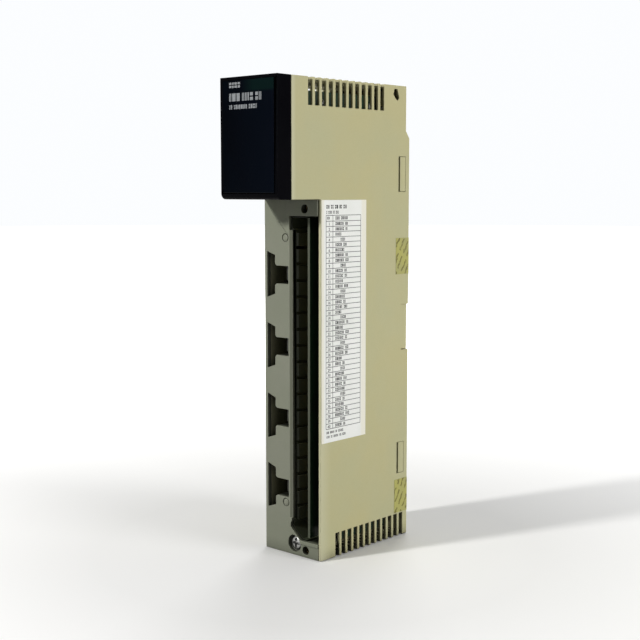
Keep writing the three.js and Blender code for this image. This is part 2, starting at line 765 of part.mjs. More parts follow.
function add(name, made, color, roughness = 0.6, metalness = 0) {
  const material = new THREE.MeshStandardMaterial({ color, roughness, metalness });
  const mesh = new THREE.Mesh(geometryOf(made), material);
  mesh.name = name;
  plcModule.add(mesh);
}

const addMetal = (name, made, color) => add(name, made, color, 0.3, 1);

add("left_shell", shell(-1), COLOUR.beige);
add("right_shell", shell(1), COLOUR.beige);
add("rear_cover", rearCover(), COLOUR.beige);
add("front_frame", frontFrame(), COLOUR.grey);
add("channel_liner", channelLiner(), COLOUR.darkGrey);
add("lower_frame_pin", framePin(PINS.low), COLOUR.grey);
add("upper_frame_pin", framePin(PINS.high), COLOUR.grey);
addMetal("lower_terminal_insert", terminalInsert(TERMINAL_HOLES.low), COLOUR.brass);
addMetal("upper_terminal_insert", terminalInsert(TERMINAL_HOLES.high), COLOUR.brass);

add("nose_cap", noseCap(), COLOUR.black, 0.4);
add("lens", lens(), COLOUR.smoke, 0.15);
add("legend_film", legendFilm(), COLOUR.black, 0.5);
add("light_baffle", lightBaffle(), COLOUR.black, 0.7);
add("light_guide", lightGuide(), COLOUR.ivory, 0.2);
add("lamp_board", lampBoard(), COLOUR.board, 0.5);
add("lamp_header", lampHeader(), COLOUR.chip, 0.5);

add("field_board", fieldBoard(), COLOUR.board, 0.5);
add("logic_board", logicBoard(), COLOUR.board, 0.5);
add("field_link", onFieldBoard(LINK.low, LINK.size, LINK.thick), COLOUR.chip, 0.5);
add("logic_link", onLogicBoard(LINK.low, LINK.size, LINK.thick), COLOUR.chip, 0.5);
SPACER_SPOTS.forEach((spot, i) => {
  addMetal(`board_spacer_${i + 1}`, boardSpacer(spot), COLOUR.brass);
  addMetal(`board_screw_${i + 1}`, boardScrew(spot), COLOUR.steel);
});
for (let i = 0; i < ISOLATORS.count; i += 1) {
  add(`channel_isolator_${i + 1}`, isolator(i), COLOUR.chip, 0.5);
}
add("processor_chip", onLogicBoard([0, 30], [20, 20], 2.4), COLOUR.chip, 0.45);
add("bus_chip", onLogicBoard([2, 62], [14, 14], 2.2), COLOUR.chip, 0.45);
add("program_memory", onLogicBoard([-2, 158], [22, 8], 3.2), COLOUR.chip, 0.45);
add("data_memory", onLogicBoard([-2, 174], [22, 8], 3.2), COLOUR.chip, 0.45);
CAPACITOR_SPOTS.forEach((spot, i) => add(`capacitor_${i + 1}`, capacitor(spot), COLOUR.chip, 0.4));
addMetal("power_converter", onLogicBoard([-8, 196], [26, 30], 9), COLOUR.steel);
add("isolation_transformer", onFieldBoard([0, 200], [18, 22], 10), COLOUR.darkGrey, 0.5);

add("backplane_plug", backplanePlug(), COLOUR.ivory, 0.5);
addMetal("left_plug_contacts", plugContacts(-1), COLOUR.gold);
addMetal("right_plug_contacts", plugContacts(1), COLOUR.gold);
addMetal("hanger_rod", hangerRod(), COLOUR.steel);
addMetal("earth_clip", earthClip(), COLOUR.steel);

addMetal("mounting_screw", mountingScrew(), COLOUR.steel);
addMetal("retaining_ring", retainingRing(), COLOUR.steel);

add("wiring_label", sticker(LABEL, [LABEL.low, LABEL.high]), COLOUR.paper, 0.8);
add("upper_seal_sticker", sticker(SEAL, SEALS.upper), COLOUR.seal);
add("lower_seal_sticker", sticker(SEAL, SEALS.lower), COLOUR.seal);

export default plcModule;
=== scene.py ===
"""Looks of a rack module for a programmable controller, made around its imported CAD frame.

CAD nodes whose shape is right stay: they get rounded edges and a procedural material. Plain inner blocks are
replaced with detailed pieces, and prints, conductors and small board parts are added.
The pieces' functions work in millimetres, in the row frame, and Build scales each finished mesh to metres.
"""

import math
import random

import bmesh
import bpy
from mathutils import Matrix, Vector


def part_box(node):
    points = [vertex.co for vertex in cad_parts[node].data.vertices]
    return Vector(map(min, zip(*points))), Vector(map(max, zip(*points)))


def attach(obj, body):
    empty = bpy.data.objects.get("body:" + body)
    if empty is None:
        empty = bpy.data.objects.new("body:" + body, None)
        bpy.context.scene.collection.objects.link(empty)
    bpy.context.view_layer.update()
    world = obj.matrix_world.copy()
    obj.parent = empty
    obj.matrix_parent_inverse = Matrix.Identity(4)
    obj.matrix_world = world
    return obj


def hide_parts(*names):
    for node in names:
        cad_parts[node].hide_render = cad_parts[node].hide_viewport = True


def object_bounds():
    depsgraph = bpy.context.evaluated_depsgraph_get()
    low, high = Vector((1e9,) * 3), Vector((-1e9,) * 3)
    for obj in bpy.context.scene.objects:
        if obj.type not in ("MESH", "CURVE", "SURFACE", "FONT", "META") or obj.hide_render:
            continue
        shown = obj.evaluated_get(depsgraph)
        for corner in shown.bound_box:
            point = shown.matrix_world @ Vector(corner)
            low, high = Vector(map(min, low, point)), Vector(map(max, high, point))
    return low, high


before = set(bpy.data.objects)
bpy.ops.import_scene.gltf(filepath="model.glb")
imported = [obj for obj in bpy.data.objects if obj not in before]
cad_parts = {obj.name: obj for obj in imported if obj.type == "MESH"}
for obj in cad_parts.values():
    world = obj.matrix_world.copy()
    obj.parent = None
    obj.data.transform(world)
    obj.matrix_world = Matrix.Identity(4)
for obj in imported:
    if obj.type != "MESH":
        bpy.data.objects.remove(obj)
CAD_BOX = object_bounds()

MM = 0.001


def spot(node):
    """Lowest and highest corner of a CAD node, in millimetres."""
    low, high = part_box(node)
    return low / MM, high / MM


def placed(name, data):
    """A new object in the scene."""
    piece = bpy.data.objects.new(name, data)
    bpy.context.scene.collection.objects.link(piece)
    return piece


# ---------------- material nodes


class Nodes:
    """A material being made, with short calls for the shader nodes that it needs."""

    def __init__(self, name, **shader):
        self.material = bpy.data.materials.new(name)
        self.material.use_nodes = True
        self.tree = self.material.node_tree
        self.shader = self.tree.nodes["Principled BSDF"]
        for key, value in shader.items():
            self.give(key.replace("_", " "), value)
        coordinates = self.add("ShaderNodeTexCoord")
        self.place = coordinates.outputs["Object"]
        self.facing = coordinates.outputs["Normal"]

    def add(self, kind, inputs=None, **settings):
        node = self.tree.nodes.new(kind)
        for key, value in settings.items():
            setattr(node, key, value)
        for key, value in (inputs or {}).items():
            self.feed(node.inputs[key], value)
        return node

    def feed(self, socket, value):
        """Links an output to a socket, or sets a plain value on it."""
        if isinstance(value, bpy.types.NodeSocket):
            self.tree.links.new(value, socket)
        elif socket.type == "RGBA":
            socket.default_value = (*value, 1.0)
        else:
            socket.default_value = value

    def give(self, name, value):
        self.feed(self.shader.inputs[name], value)

    def cover(self, share, colour):
        """Lays a colour over the base colour made so far."""
        made = self.shader.inputs["Base Color"].links[0].from_socket
        self.give("Base Color", self.blend(share, made, colour))

    def noise(self, scale, detail=2.0, stretch=(1, 1, 1), rough=0.5):
        where = self.stretched(stretch) if stretch != (1, 1, 1) else self.place
        inputs = {"Vector": where, "Scale": scale, "Detail": detail, "Roughness": rough}
        return self.add("ShaderNodeTexNoise", inputs).outputs[0]

    def stretched(self, stretch, turn=(0, 0, 0)):
        inputs = {"Vector": self.place, "Scale": stretch, "Rotation": turn}
        return self.add("ShaderNodeMapping", inputs).outputs[0]

    def wave(self, scale, axis, distortion=0.0):
        inputs = {"Vector": self.place, "Scale": scale, "Distortion": distortion, "Detail Scale": 2.0}
        return self.add("ShaderNodeTexWave", inputs, bands_direction=axis).outputs["Fac"]

    def span(self, value, low, high, to_low=0.0, to_high=1.0):
        """Takes low..high to to_low..to_high, and holds it there outside."""
        inputs = {0: value, 1: low, 2: high, 3: to_low, 4: to_high}
        return self.add("ShaderNodeMapRange", inputs).outputs[0]

    def maths(self, operation, a, b=0.0):
        return self.add("ShaderNodeMath", {0: a, 1: b}, operation=operation).outputs[0]

    def times(self, a, b):
        return self.maths("MULTIPLY", a, b)

    def blend(self, share, a, b):
        return self.add("ShaderNodeMix", {0: share, 6: a, 7: b}, data_type="RGBA").outputs[2]

    def along(self, axis, vector=None):
        """One coordinate of a vector, in metres for the place on the object."""
        return self.add("ShaderNodeSeparateXYZ", {0: vector or self.place}).outputs["XYZ".index(axis)]

    def edges(self, radius, samples=4):
        """1 on sharp edges and 0 on flats."""
        rounded = self.add("ShaderNodeBevel", {"Radius": radius}, samples=samples).outputs[0]
        true = self.add("ShaderNodeNewGeometry").outputs["Normal"]
        both = self.add("ShaderNodeVectorMath", {0: rounded, 1: true}, operation="DOT_PRODUCT")
        return self.span(both.outputs["Value"], 0.995, 0.86)

    def corners(self, reach, samples=4):
        """1 deep in corners and 0 in the open."""
        node = self.add("ShaderNodeAmbientOcclusion", {"Distance": reach}, samples=samples)
        return self.span(node.outputs["AO"], 0.75, 0.25)

    def bump(self, height, depth, strength=0.5, under=None):
        inputs = {"Height": height, "Distance": depth, "Strength": strength}
        if under is not None:
            inputs["Normal"] = under
        return self.add("ShaderNodeBump", inputs).outputs[0]

    def roughen(self, scale, detail, low, high):
        """Roughness that wanders between two values."""
        self.give("Roughness", self.span(self.noise(scale, detail), 0.3, 0.7, low, high))

    def grain(self, scale, detail, depth, strength):
        """A fine unevenness of the surface."""
        self.give("Normal", self.bump(self.noise(scale, detail), depth, strength))


# ---------------- materials


def moulded(name, base, other, rubbed, corner_tone, rough=(0.42, 0.58), cavity_shade=0.0):
    """Moulded plastic: a spark-eroded grain, uneven ageing, rubbed edges, and a darker tone in the corners.

    The last argument is how much painted shade darkens deep slots and pockets.
    """
    m = Nodes(name, Specular_IOR_Level=0.4)
    patches = m.span(m.noise(26, 3), 0.36, 0.66)
    speckle = m.span(m.noise(1500, 2), 0.2, 0.8, 0.0, 0.22)
    colour = m.blend(patches, base, other)
    colour = m.blend(speckle, colour, tuple(0.72 * c for c in base))
    scuffs = m.span(m.noise(240, 5, rough=0.65), 0.44, 0.6)
    colour = m.blend(m.times(m.edges(0.0006), m.times(scuffs, 0.6)), colour, rubbed)
    # darker in the corners, by ambient occlusion broken up by noise
    corner_darkening = m.times(m.corners(0.004), m.span(m.noise(90, 3), 0.3, 0.7, 0.25, 0.75))
    m.give("Base Color", m.blend(corner_darkening, colour, corner_tone))
    if cavity_shade:
        # painted shade: deep slots and pockets darken towards black by ambient occlusion
        m.cover(m.times(m.corners(0.016, 8), cavity_shade), tuple(0.035 * c for c in base))
    m.roughen(170, 4, *rough)
    fine = m.bump(m.noise(2600, 3, rough=0.6), 3e-5, 0.55)
    m.give("Normal", m.bump(m.noise(60, 2), 1.2e-4, 0.25, fine))
    return m


BEIGE = (0.5, 0.465, 0.246), (0.472, 0.46, 0.264), (0.61, 0.58, 0.39)  # its two tones, and rubbed


def case_plastic():
    """Beige, with a painted sheen that lightens it along the front corners."""
    # the last argument paints full shade into the vents and slots
    m = moulded("case_plastic", *BEIGE, (0.2, 0.18, 0.08), cavity_shade=1.0)
    front = FRAME_FACE * MM
    nose = CAP_BACK * MM
    under = m.maths("LESS_THAN", m.along("Z"), NOSE_UNDERSIDE * MM)
    painted_sheen_low = m.times(m.span(m.along("Y"), front + 0.008, front + 0.001), under)
    painted_sheen_high = m.span(m.along("Y"), nose + 0.0035, nose + 0.0012)
    # painted sheen: paler, bluish strips where the front edges catch light
    m.cover(m.times(m.maths("MAXIMUM", painted_sheen_low, painted_sheen_high), 0.55), (0.57, 0.56, 0.385))
    return m.material


def cover_plastic():
    """The rear cover's beige, without the case's painted shade in deep slots, and darker, olive, in its
    corners, such as the slits beside its snap arms.
    """
    return moulded("cover_plastic", *BEIGE, (0.36, 0.32, 0.15)).material


def frame_plastic():
    """Grey-green, with painted shade behind the face, inside the pockets and the channel."""
    base, other = (0.219, 0.228, 0.172), (0.2, 0.214, 0.153)
    # the last argument paints shade into the pockets and the channel
    m = moulded("frame_plastic", base, other, (0.37, 0.38, 0.31), (0.07, 0.074, 0.048), cavity_shade=0.65)
    front = FRAME_FACE * MM
    # painted shade: darker with depth behind the face
    m.cover(m.span(m.along("Y"), front + 0.0009, front + 0.0032, 0.0, 0.97), (0.012, 0.013, 0.008))
    return m.material


def liner_plastic():
    """Dark, a tone that paints the shade inside the channel, and darkest, by more painted shade, on the faces
    towards the front.
    """
    base, other = (0.068, 0.076, 0.046), (0.052, 0.06, 0.036)
    m = moulded("liner_plastic", base, other, (0.06, 0.064, 0.04), (0.026, 0.028, 0.017))
    # painted shade on the faces that look towards the front, where the key light falls
    front_faces_shaded = m.maths("LESS_THAN", m.along("Y", m.facing), -0.5)
    m.cover(m.times(front_faces_shaded, 0.85), (0.0035, 0.004, 0.0025))
    m.give("Specular IOR Level", 0.1)
    return m.material


def cap_plastic():
    base, other = (0.0012, 0.0012, 0.0022), (0.002, 0.002, 0.003)
    m = moulded("cap_plastic", base, other, (0.012, 0.012, 0.014), (0.003, 0.003, 0.003), (0.34, 0.46))
    m.give("Specular IOR Level", 0.012)
    return m.material


def baffle_plastic():
    base, other = (0.01, 0.01, 0.01), (0.013, 0.013, 0.012)
    return moulded("baffle_plastic", base, other, (0.04, 0.04, 0.04), (0.004, 0.004, 0.004)).material


def connector_plastic():
    base, other = (0.6, 0.56, 0.4), (0.56, 0.53, 0.38)
    m = moulded("connector_plastic", base, other, (0.72, 0.7, 0.56), (0.28, 0.25, 0.16), rough=(0.3, 0.42))
    return m.material


def header_plastic():
    base, other = (0.012, 0.012, 0.013), (0.017, 0.017, 0.017)
    return moulded("header_plastic", base, other, (0.06, 0.06, 0.06), (0.006, 0.006, 0.006)).material


def smoked_lens():
    """Polished and nearly opaque, with a faint green band at the top right and fine wiping scratches."""
    m = Nodes("smoked_lens", Specular_IOR_Level=0.05)
    across, level = m.along("X"), m.along("Z")
    right = m.span(across, LENS[0].x * MM, LENS[1].x * MM)
    tone = m.blend(right, (0.0005, 0.001, 0.0023), (0.002, 0.0034, 0.0075))
    tone = m.blend(m.span(m.noise(60, 2), 0.35, 0.65, 0.0, 0.5), tone, (0.0008, 0.0024, 0.0055))
    band = m.times(m.span(level, 0.2418, 0.2432), m.span(across, -0.004, 0.004))
    tone = m.blend(m.times(band, 0.8), tone, (0.0028, 0.012, 0.0108))
    m.give("Base Color", tone)
    scratches = m.span(m.noise(420, 5, stretch=(9, 9, 1), rough=0.7), 0.6, 0.68)
    m.give("Roughness", m.span(scratches, 0, 1, 0.11, 0.3))
    m.grain(45, 2, 6e-5, 0.2)
    return m.material


def speckled(name, base, other, spots, rough, grain=None, specular=0.5, coat=0.0):
    """A material between two tones. spots, rough and grain each start with a noise's scale and detail."""
    m = Nodes(name, Specular_IOR_Level=specular, Coat_Weight=coat)
    m.give("Base Color", m.blend(m.noise(*spots), base, other))
    m.roughen(*rough)
    if grain:
        m.grain(*grain)
    return m.material


def black_film():
    tones = (0.005, 0.006, 0.008), (0.009, 0.009, 0.011)
    return speckled("black_film", *tones, (300, 3), (500, 2, 0.4, 0.55), specular=0.3)


def clear_plastic():
    tones = (0.72, 0.74, 0.7), (0.8, 0.8, 0.77)
    return speckled("clear_plastic", *tones, (150, 3), (400, 3, 0.08, 0.2), (220, 2, 5e-5, 0.3), 0.6, 0.3)


def circuit_board(name, axis):
    """Green solder mask over glass weave on the faces across axis, with painted shade where other parts close
    it in, and bare layered laminate on the edges.
    """
    m = Nodes(name, Specular_IOR_Level=0.5)
    face = m.maths("GREATER_THAN", m.maths("ABSOLUTE", m.along(axis, m.facing)), 0.5)
    copper = m.span(m.noise(75, 2, stretch=(1, 1, 0.45)), 0.49, 0.51)
    mask = m.blend(copper, (0.006, 0.03, 0.013), (0.01, 0.05, 0.019))
    weave = m.times(m.wave(620, "Z"), m.wave(620, "Y" if axis == "X" else "X"))
    mask = m.blend(m.times(weave, 0.22), mask, (0.022, 0.07, 0.03))
    mask = m.blend(m.span(m.noise(35, 4), 0.4, 0.7, 0, 0.3), mask, (0.006, 0.021, 0.013))
    # painted shade: the mask darkens where the board is closed in, by ambient occlusion
    mask = m.blend(m.times(m.corners(0.016, 8), 0.8), mask, (0.0006, 0.0016, 0.0009))
    layers = m.wave(520, axis, 1.5)
    bare = m.blend(m.span(layers, 0.25, 0.75), (0.052, 0.061, 0.038), (0.076, 0.084, 0.054))
    bare = m.blend(m.span(m.noise(900, 3), 0.5, 0.8, 0, 0.6), bare, (0.03, 0.037, 0.022))
    m.give("Base Color", m.blend(face, bare, mask))
    m.give("Roughness", m.span(face, 0, 1, 0.75, 0.3))
    m.give("Normal", m.bump(m.maths("ADD", weave, copper), 2e-5, 0.4))
    return m.material


def epoxy_black():
    tones = (0.009, 0.009, 0.01), (0.02, 0.02, 0.02)
    return speckled("epoxy_black", *tones, (700, 3), (900, 2, 0.45, 0.62), (3200, 3, 2e-5, 0.6), 0.4)


def potting():
    """The glossy resin of a potted block, with shallow waves."""
    tones = (0.014, 0.014, 0.016), (0.03, 0.03, 0.032)
    return speckled("potting_resin", *tones, (120, 3), (160, 3, 0.16, 0.34), (130, 2, 2e-4, 0.3))


def sleeve():
    """A capacitor's shrunk sleeve, with its pale polarity stripe."""
    m = Nodes("capacitor_sleeve", Specular_IOR_Level=0.5)
    level = m.wave(48, "Z")
    dark = m.blend(m.noise(160, 3), (0.011, 0.015, 0.045), (0.018, 0.022, 0.06))
    m.give("Base Color", m.blend(m.span(level, 0.985, 0.99), dark, (0.42, 0.43, 0.46)))
    m.roughen(240, 3, 0.25, 0.42)
    m.grain(420, 3, 4e-5, 0.4)
    return m.material


def metal(name, base, other, rough, tarnish_and_shade=(0.3, 0.29, 0.26), grain=(1, 1, 1)):
    """Metal with drawn or turned grain, scattered scratches and dull patches, darker in its hollows: tarnish,
    which for zinc is painted shade in its recesses.
    """
    m = Nodes(name, Metallic=1.0)
    patches = m.span(m.noise(110, 4), 0.35, 0.68)
    colour = m.blend(patches, base, other)
    dull_and_shade = m.times(m.corners(0.002), 0.7)
    m.give("Base Color", m.blend(dull_and_shade, colour, tarnish_and_shade))
    lines = m.noise(700, 4, stretch=grain, rough=0.7)
    m.give("Roughness", m.span(m.maths("ADD", lines, m.times(patches, 0.3)), 0.4, 1.0, *rough))
    m.give("Normal", m.bump(lines, 1.5e-5, 0.5))
    return m.material


def zinc():
    # the near-black hollow tone is painted shade in the screws' cross recesses
    return metal("zinc_plate", (0.5, 0.5, 0.485), (0.4, 0.405, 0.4), (0.4, 0.6), (0.05, 0.05, 0.045))


def drawn_steel():
    return metal("drawn_steel", (0.6, 0.6, 0.59), (0.5, 0.5, 0.49), (0.18, 0.36), grain=(0.05, 1, 1))


def spring_steel():
    return metal("spring_steel", (0.58, 0.57, 0.54), (0.48, 0.48, 0.46), (0.16, 0.34), grain=(0.08, 1, 1))


def tinned():
    return metal("tinned_can", (0.62, 0.62, 0.6), (0.5, 0.5, 0.5), (0.28, 0.5), grain=(1, 1, 0.1))


def solder():
    return metal("solder", (0.64, 0.64, 0.64), (0.5, 0.51, 0.53), (0.2, 0.4))


def gold():
    return metal("gold_plate", (0.86, 0.6, 0.24), (0.8, 0.55, 0.22), (0.16, 0.34), (0.36, 0.22, 0.08))


def machined_brass():
    tones = (0.66, 0.47, 0.18), (0.56, 0.4, 0.15)
    return metal("machined_brass", *tones, (0.2, 0.4), (0.22, 0.14, 0.05), (1, 0.1, 1))


def aged_brass():
    # near-black brass: painted shade, so the terminal holes look black
    return metal("aged_brass", (0.1, 0.072, 0.03), (0.07, 0.05, 0.024), (0.4, 0.6), (0.02, 0.014, 0.006))


def copper_wire():
    return metal("enamelled_wire", (0.68, 0.29, 0.12), (0.55, 0.22, 0.09), (0.22, 0.42), (0.2, 0.08, 0.03))


def label_paper():
    """White coated sheet, slightly creamy along its borders, with paper fibre and a faint soiling."""
    m = Nodes("label_paper", Specular_IOR_Level=0.35)
    low, high = spot("wiring_label")
    across = m.along("Y")
    rear_border = m.span(across, (high.y - 4.5) * MM, (high.y - 3) * MM)
    front_border = m.span(across, (low.y + 2.4) * MM, (low.y + 1.2) * MM)
    sheet = m.blend(m.span(m.noise(45, 4), 0.4, 0.72), (0.89, 0.9, 0.87), (0.82, 0.84, 0.8))
    sheet = m.blend(m.maths("MAXIMUM", rear_border, front_border), sheet, (0.85, 0.83, 0.72))
    m.give("Base Color", m.blend(m.span(m.noise(1900, 3), 0.5, 0.9, 0, 0.3), sheet, (0.68, 0.68, 0.64)))
    m.roughen(200, 3, 0.45, 0.65)
    m.give("Normal", m.bump(m.noise(1500, 4, rough=0.7), 2e-5, 0.5))
    return m.material


def seal_paper():
    """Yellow sticker with dark slanting dashes."""
    m = Nodes("seal_paper", Specular_IOR_Level=0.35)
    steep, flat = math.sin(math.radians(60)), math.cos(math.radians(60))
    y, z = m.along("Y"), m.along("Z")
    across = m.maths("SUBTRACT", m.times(y, steep), m.times(z, flat))
    along = m.maths("ADD", m.times(y, flat), m.times(z, steep))
    wobble = m.span(m.noise(260, 2), 0.3, 0.7, -0.18, 0.18)
    line = m.maths("FRACT", m.maths("ADD", m.times(across, 1 / 0.0036), wobble))
    dash = m.maths("FRACT", m.times(along, 1 / 0.0095))
    ink = m.times(m.maths("LESS_THAN", line, 0.34), m.maths("LESS_THAN", dash, 0.78))
    ink = m.times(ink, m.span(m.noise(700, 3), 0.3, 0.55, 0.3, 0.85))
    sheet = m.blend(m.span(m.noise(120, 3), 0.35, 0.7), (0.42, 0.4, 0.11), (0.36, 0.35, 0.14))
    m.give("Base Color", m.blend(ink, sheet, (0.13, 0.115, 0.022)))
    m.roughen(300, 3, 0.35, 0.55)
    m.grain(900, 3, 3e-5, 0.5)
    return m.material


def ink(name, dark, faded, loss=0.35):
    """Printed ink, thinner in places."""
    m = Nodes(name, Specular_IOR_Level=0.3)
    m.give("Base Color", m.blend(m.span(m.noise(900, 3), 0.4, 0.75, 0, loss), dark, faded))
    m.roughen(600, 2, 0.5, 0.7)
    return m.material


def ceramic(name, base, other):
    return speckled(name, base, other, (600, 3), (900, 2, 0.3, 0.5), (2500, 2, 1.5e-5, 0.4))


def lamp_resin(name, base):
    deep = tuple(0.6 * c for c in base)
    return speckled(name, base, deep, (500, 2), (800, 2, 0.1, 0.22), specular=0.6, coat=0.4)


LENS = spot("lens")
CAP_BACK = spot("lamp_board")[0].y + 2  # the lamp board stands 2 mm in front of the cap's rear edge
NOSE_UNDERSIDE = spot("nose_cap")[0].z
FRAME_FACE = spot("upper_frame_pin")[0].y + 0.15  # the pins stand 0.15 mm proud of the frame's face

PAINT = {
    "case": case_plastic(),
    "cover": cover_plastic(),
    "frame": frame_plastic(),
    "liner": liner_plastic(),
    "cap": cap_plastic(),
    "lens": smoked_lens(),
    "film": black_film(),
    "baffle": baffle_plastic(),
    "clear": clear_plastic(),
    "board": circuit_board("circuit_board", "X"),
    "lamp_board": circuit_board("lamp_circuit_board", "Y"),
    "header": header_plastic(),
    "epoxy": epoxy_black(),
    "potting": potting(),
    "sleeve": sleeve(),
    "connector": connector_plastic(),
    "gold": gold(),
    "brass": machined_brass(),
    "aged_brass": aged_brass(),
    "copper": copper_wire(),
    "zinc": zinc(),
    "drawn": drawn_steel(),
    "spring": spring_steel(),
    "tin": tinned(),
    "solder": solder(),
    "paper": label_paper(),
    "seal": seal_paper(),
    "black_ink": ink("black_ink", (0.02, 0.02, 0.021), (0.17, 0.17, 0.17), 0.25),
    "white_ink": ink("white_ink", (0.27, 0.285, 0.3), (0.09, 0.1, 0.11)),
    "legend_ink": ink("legend_ink", (0.4, 0.4, 0.36), (0.2, 0.2, 0.18)),
    "resistor": ceramic("resistor_ceramic", (0.012, 0.013, 0.02), (0.03, 0.03, 0.035)),
    "dielectric": ceramic("capacitor_ceramic", (0.36, 0.24, 0.13), (0.3, 0.2, 0.11)),
    "ferrite": ceramic("ferrite", (0.03, 0.03, 0.032), (0.05, 0.05, 0.05)),
    "tape": ceramic("winding_tape", (0.5, 0.36, 0.04), (0.42, 0.3, 0.04)),
    "lamp_body": ceramic("lamp_body", (0.7, 0.7, 0.66), (0.62, 0.62, 0.58)),
    "green_lamp": lamp_resin("green_lamp", (0.12, 0.42, 0.1)),
    "red_lamp": lamp_resin("red_lamp", (0.5, 0.03, 0.02)),
}


# ---------------- CAD nodes that stay


def soften(node, paint, width=0.25, segments=2):
    """Rounds a CAD node's edges by width millimetres, and gives it its material."""
    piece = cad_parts[node]
    for slot in piece.material_slots:
        slot.material = PAINT[paint]
    piece.data.polygons.foreach_set("use_smooth", [True] * len(piece.data.polygons))
    weld = piece.modifiers.new("Weld", "WELD")
    weld.merge_threshold = 1e-6
    flat = piece.modifiers.new("Flat", "DECIMATE")
    flat.decimate_type = "DISSOLVE"
    flat.angle_limit = math.radians(1)
    bevel = piece.modifiers.new("Bevel", "BEVEL")
    bevel.width = width * MM
    bevel.segments = segments
    bevel.limit_method = "ANGLE"
    bevel.angle_limit = math.radians(35)
    bevel.use_clamp_overlap = False
    normals = piece.modifiers.new("Normals", "WEIGHTED_NORMAL")
    normals.weight = 100


STAY = {
    "left_shell": ("case", 0.4, 3),
    "right_shell": ("case", 0.4, 3),
    "rear_cover": ("cover", 0.3, 2),
    "front_frame": ("frame", 0.25, 2),
    "channel_liner": ("liner", 0.2, 2),
    "lower_frame_pin": ("frame", 0.15, 2),
    "upper_frame_pin": ("frame", 0.15, 2),
    "lower_terminal_insert": ("aged_brass", 0.15, 2),
    "upper_terminal_insert": ("aged_brass", 0.15, 2),
    "nose_cap": ("cap", 0.3, 3),
    "lens": ("lens", 0.2, 3),
    "legend_film": ("film", 0.02, 1),
    "light_baffle": ("baffle", 0.12, 2),
    "light_guide": ("clear", 0.15, 2),
    "lamp_board": ("lamp_board", 0.08, 1),
    "field_board": ("board", 0.1, 1),
    "logic_board": ("board", 0.1, 1),
    "backplane_plug": ("connector", 0.3, 2),
    "hanger_rod": ("drawn", 0.3, 2),
    "earth_clip": ("spring", 0.08, 2),
    "retaining_ring": ("spring", 0.1, 2),
    "wiring_label": ("paper", 0.04, 1),
    "upper_seal_sticker": ("seal", 0.04, 1),
    "lower_seal_sticker": ("seal", 0.04, 1),
}
for node, (paint, width, segments) in STAY.items():
    soften(node, paint, width, segments)
for number in range(1, 5):
    soften(f"board_spacer_{number}", "brass", 0.2, 2)


# ---------------- building pieces


class Build:
    """Closed shapes gathered into one mesh. A shape's own axes are turned into the row frame by a matrix."""

    def __init__(self, onto=Matrix()):
        self.bm = bmesh.new()
        self.onto = onto
        self.paints = []

    def keep(self, verts, paint, turn=Matrix()):
        """Places new vertices in the row frame, and paints their faces."""
        if paint not in self.paints:
            self.paints.append(paint)
        index = self.paints.index(paint)
        bmesh.ops.transform(self.bm, matrix=self.onto @ turn, verts=verts)
        for face in {face for vert in verts for face in vert.link_faces}:
            face.material_index = index

    def block(self, low, high, paint, round_by=0.0, segments=1):
        """A box between two corners, with its edges chamfered or rounded."""
        low, high = Vector(low), Vector(high)
        size = high - low
        matrix = Matrix.Translation((low + high) / 2) @ Matrix.Diagonal((*size, 1))
        verts = bmesh.ops.create_cube(self.bm, size=1, matrix=matrix)["verts"]
        if round_by:
            edges = list({edge for vert in verts for edge in vert.link_edges})
            made = bmesh.ops.bevel(
                self.bm, geom=edges, offset=round_by, segments=segments, profile=0.5, affect="EDGES"
            )
            verts = list({vert for face in made["faces"] for vert in face.verts} | set(alive(verts)))
        self.keep(verts, paint)

    def lathe(self, profile, paint, centre=(0, 0, 0), axis="W", sides=24):
        """Turns [radius, distance] points, the first and last on the axis, about an axis through centre."""
        rings = []
        for radius, at in profile:
            count = 1 if radius < 1e-6 else sides
            ring = []
            for i in range(count):
                angle = 2 * math.pi * i / sides
                ring.append(self.bm.verts.new((radius * math.cos(angle), radius * math.sin(angle), at)))
            rings.append(ring)
        for a, b in zip(rings, rings[1:]):
            for i in range(sides):
                corners = [a[i % len(a)], a[(i + 1) % len(a)], b[(i + 1) % len(b)], b[i % len(b)]]
                unique = list(dict.fromkeys(corners))
                if len(unique) > 2:
                    self.bm.faces.new(unique)
        turns = {"U": Matrix.Rotation(math.pi / 2, 4, "Y"), "V": Matrix.Rotation(-math.pi / 2, 4, "X")}
        turn = Matrix.Translation(centre) @ turns.get(axis, Matrix())
        self.keep([vert for ring in rings for vert in ring], paint, turn)

    def ribbon(self, points, width, low, high, paint):
        """A strip of that width along a line of [u, v] points, from w low to w high."""
        rails = []
        for side, w in ((1, low), (1, high), (-1, high), (-1, low)):
            line = offset_line(points, side * width / 2)
            rails.append([self.bm.verts.new((u, v, w)) for u, v in line])
        for a, b in zip(rails, rails[1:] + rails[:1]):
            for i in range(len(points) - 1):
                self.bm.faces.new((a[i], a[i + 1], b[i + 1], b[i]))
        for end in (0, -1):
            self.bm.faces.new([rail[end] for rail in rails])
        self.keep([vert for rail in rails for vert in rail], paint)

    def stamp(self, mesh, turn, paint):
        """Adds a copy of a mesh."""
        before = set(self.bm.verts)
        self.bm.from_mesh(mesh)
        self.keep([vert for vert in self.bm.verts if vert not in before], paint, turn)

    def done(self, name, body="case", replaces=()):
        """Ends the piece: scales it to metres, shades it and puts it on its body."""
        bmesh.ops.recalc_face_normals(self.bm, faces=self.bm.faces)
        bmesh.ops.scale(self.bm, vec=(MM, MM, MM), verts=self.bm.verts)
        mesh = bpy.data.meshes.new(name)
        self.bm.to_mesh(mesh)
        self.bm.free()
        for paint in self.paints:
            mesh.materials.append(PAINT[paint])
        mesh.shade_smooth()
        mesh.set_sharp_from_angle(angle=math.radians(38))
        piece = placed(name, mesh)
        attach(piece, body)
        if replaces:
            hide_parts(*replaces)
        return piece


def alive(verts):
    return [vert for vert in verts if vert.is_valid]


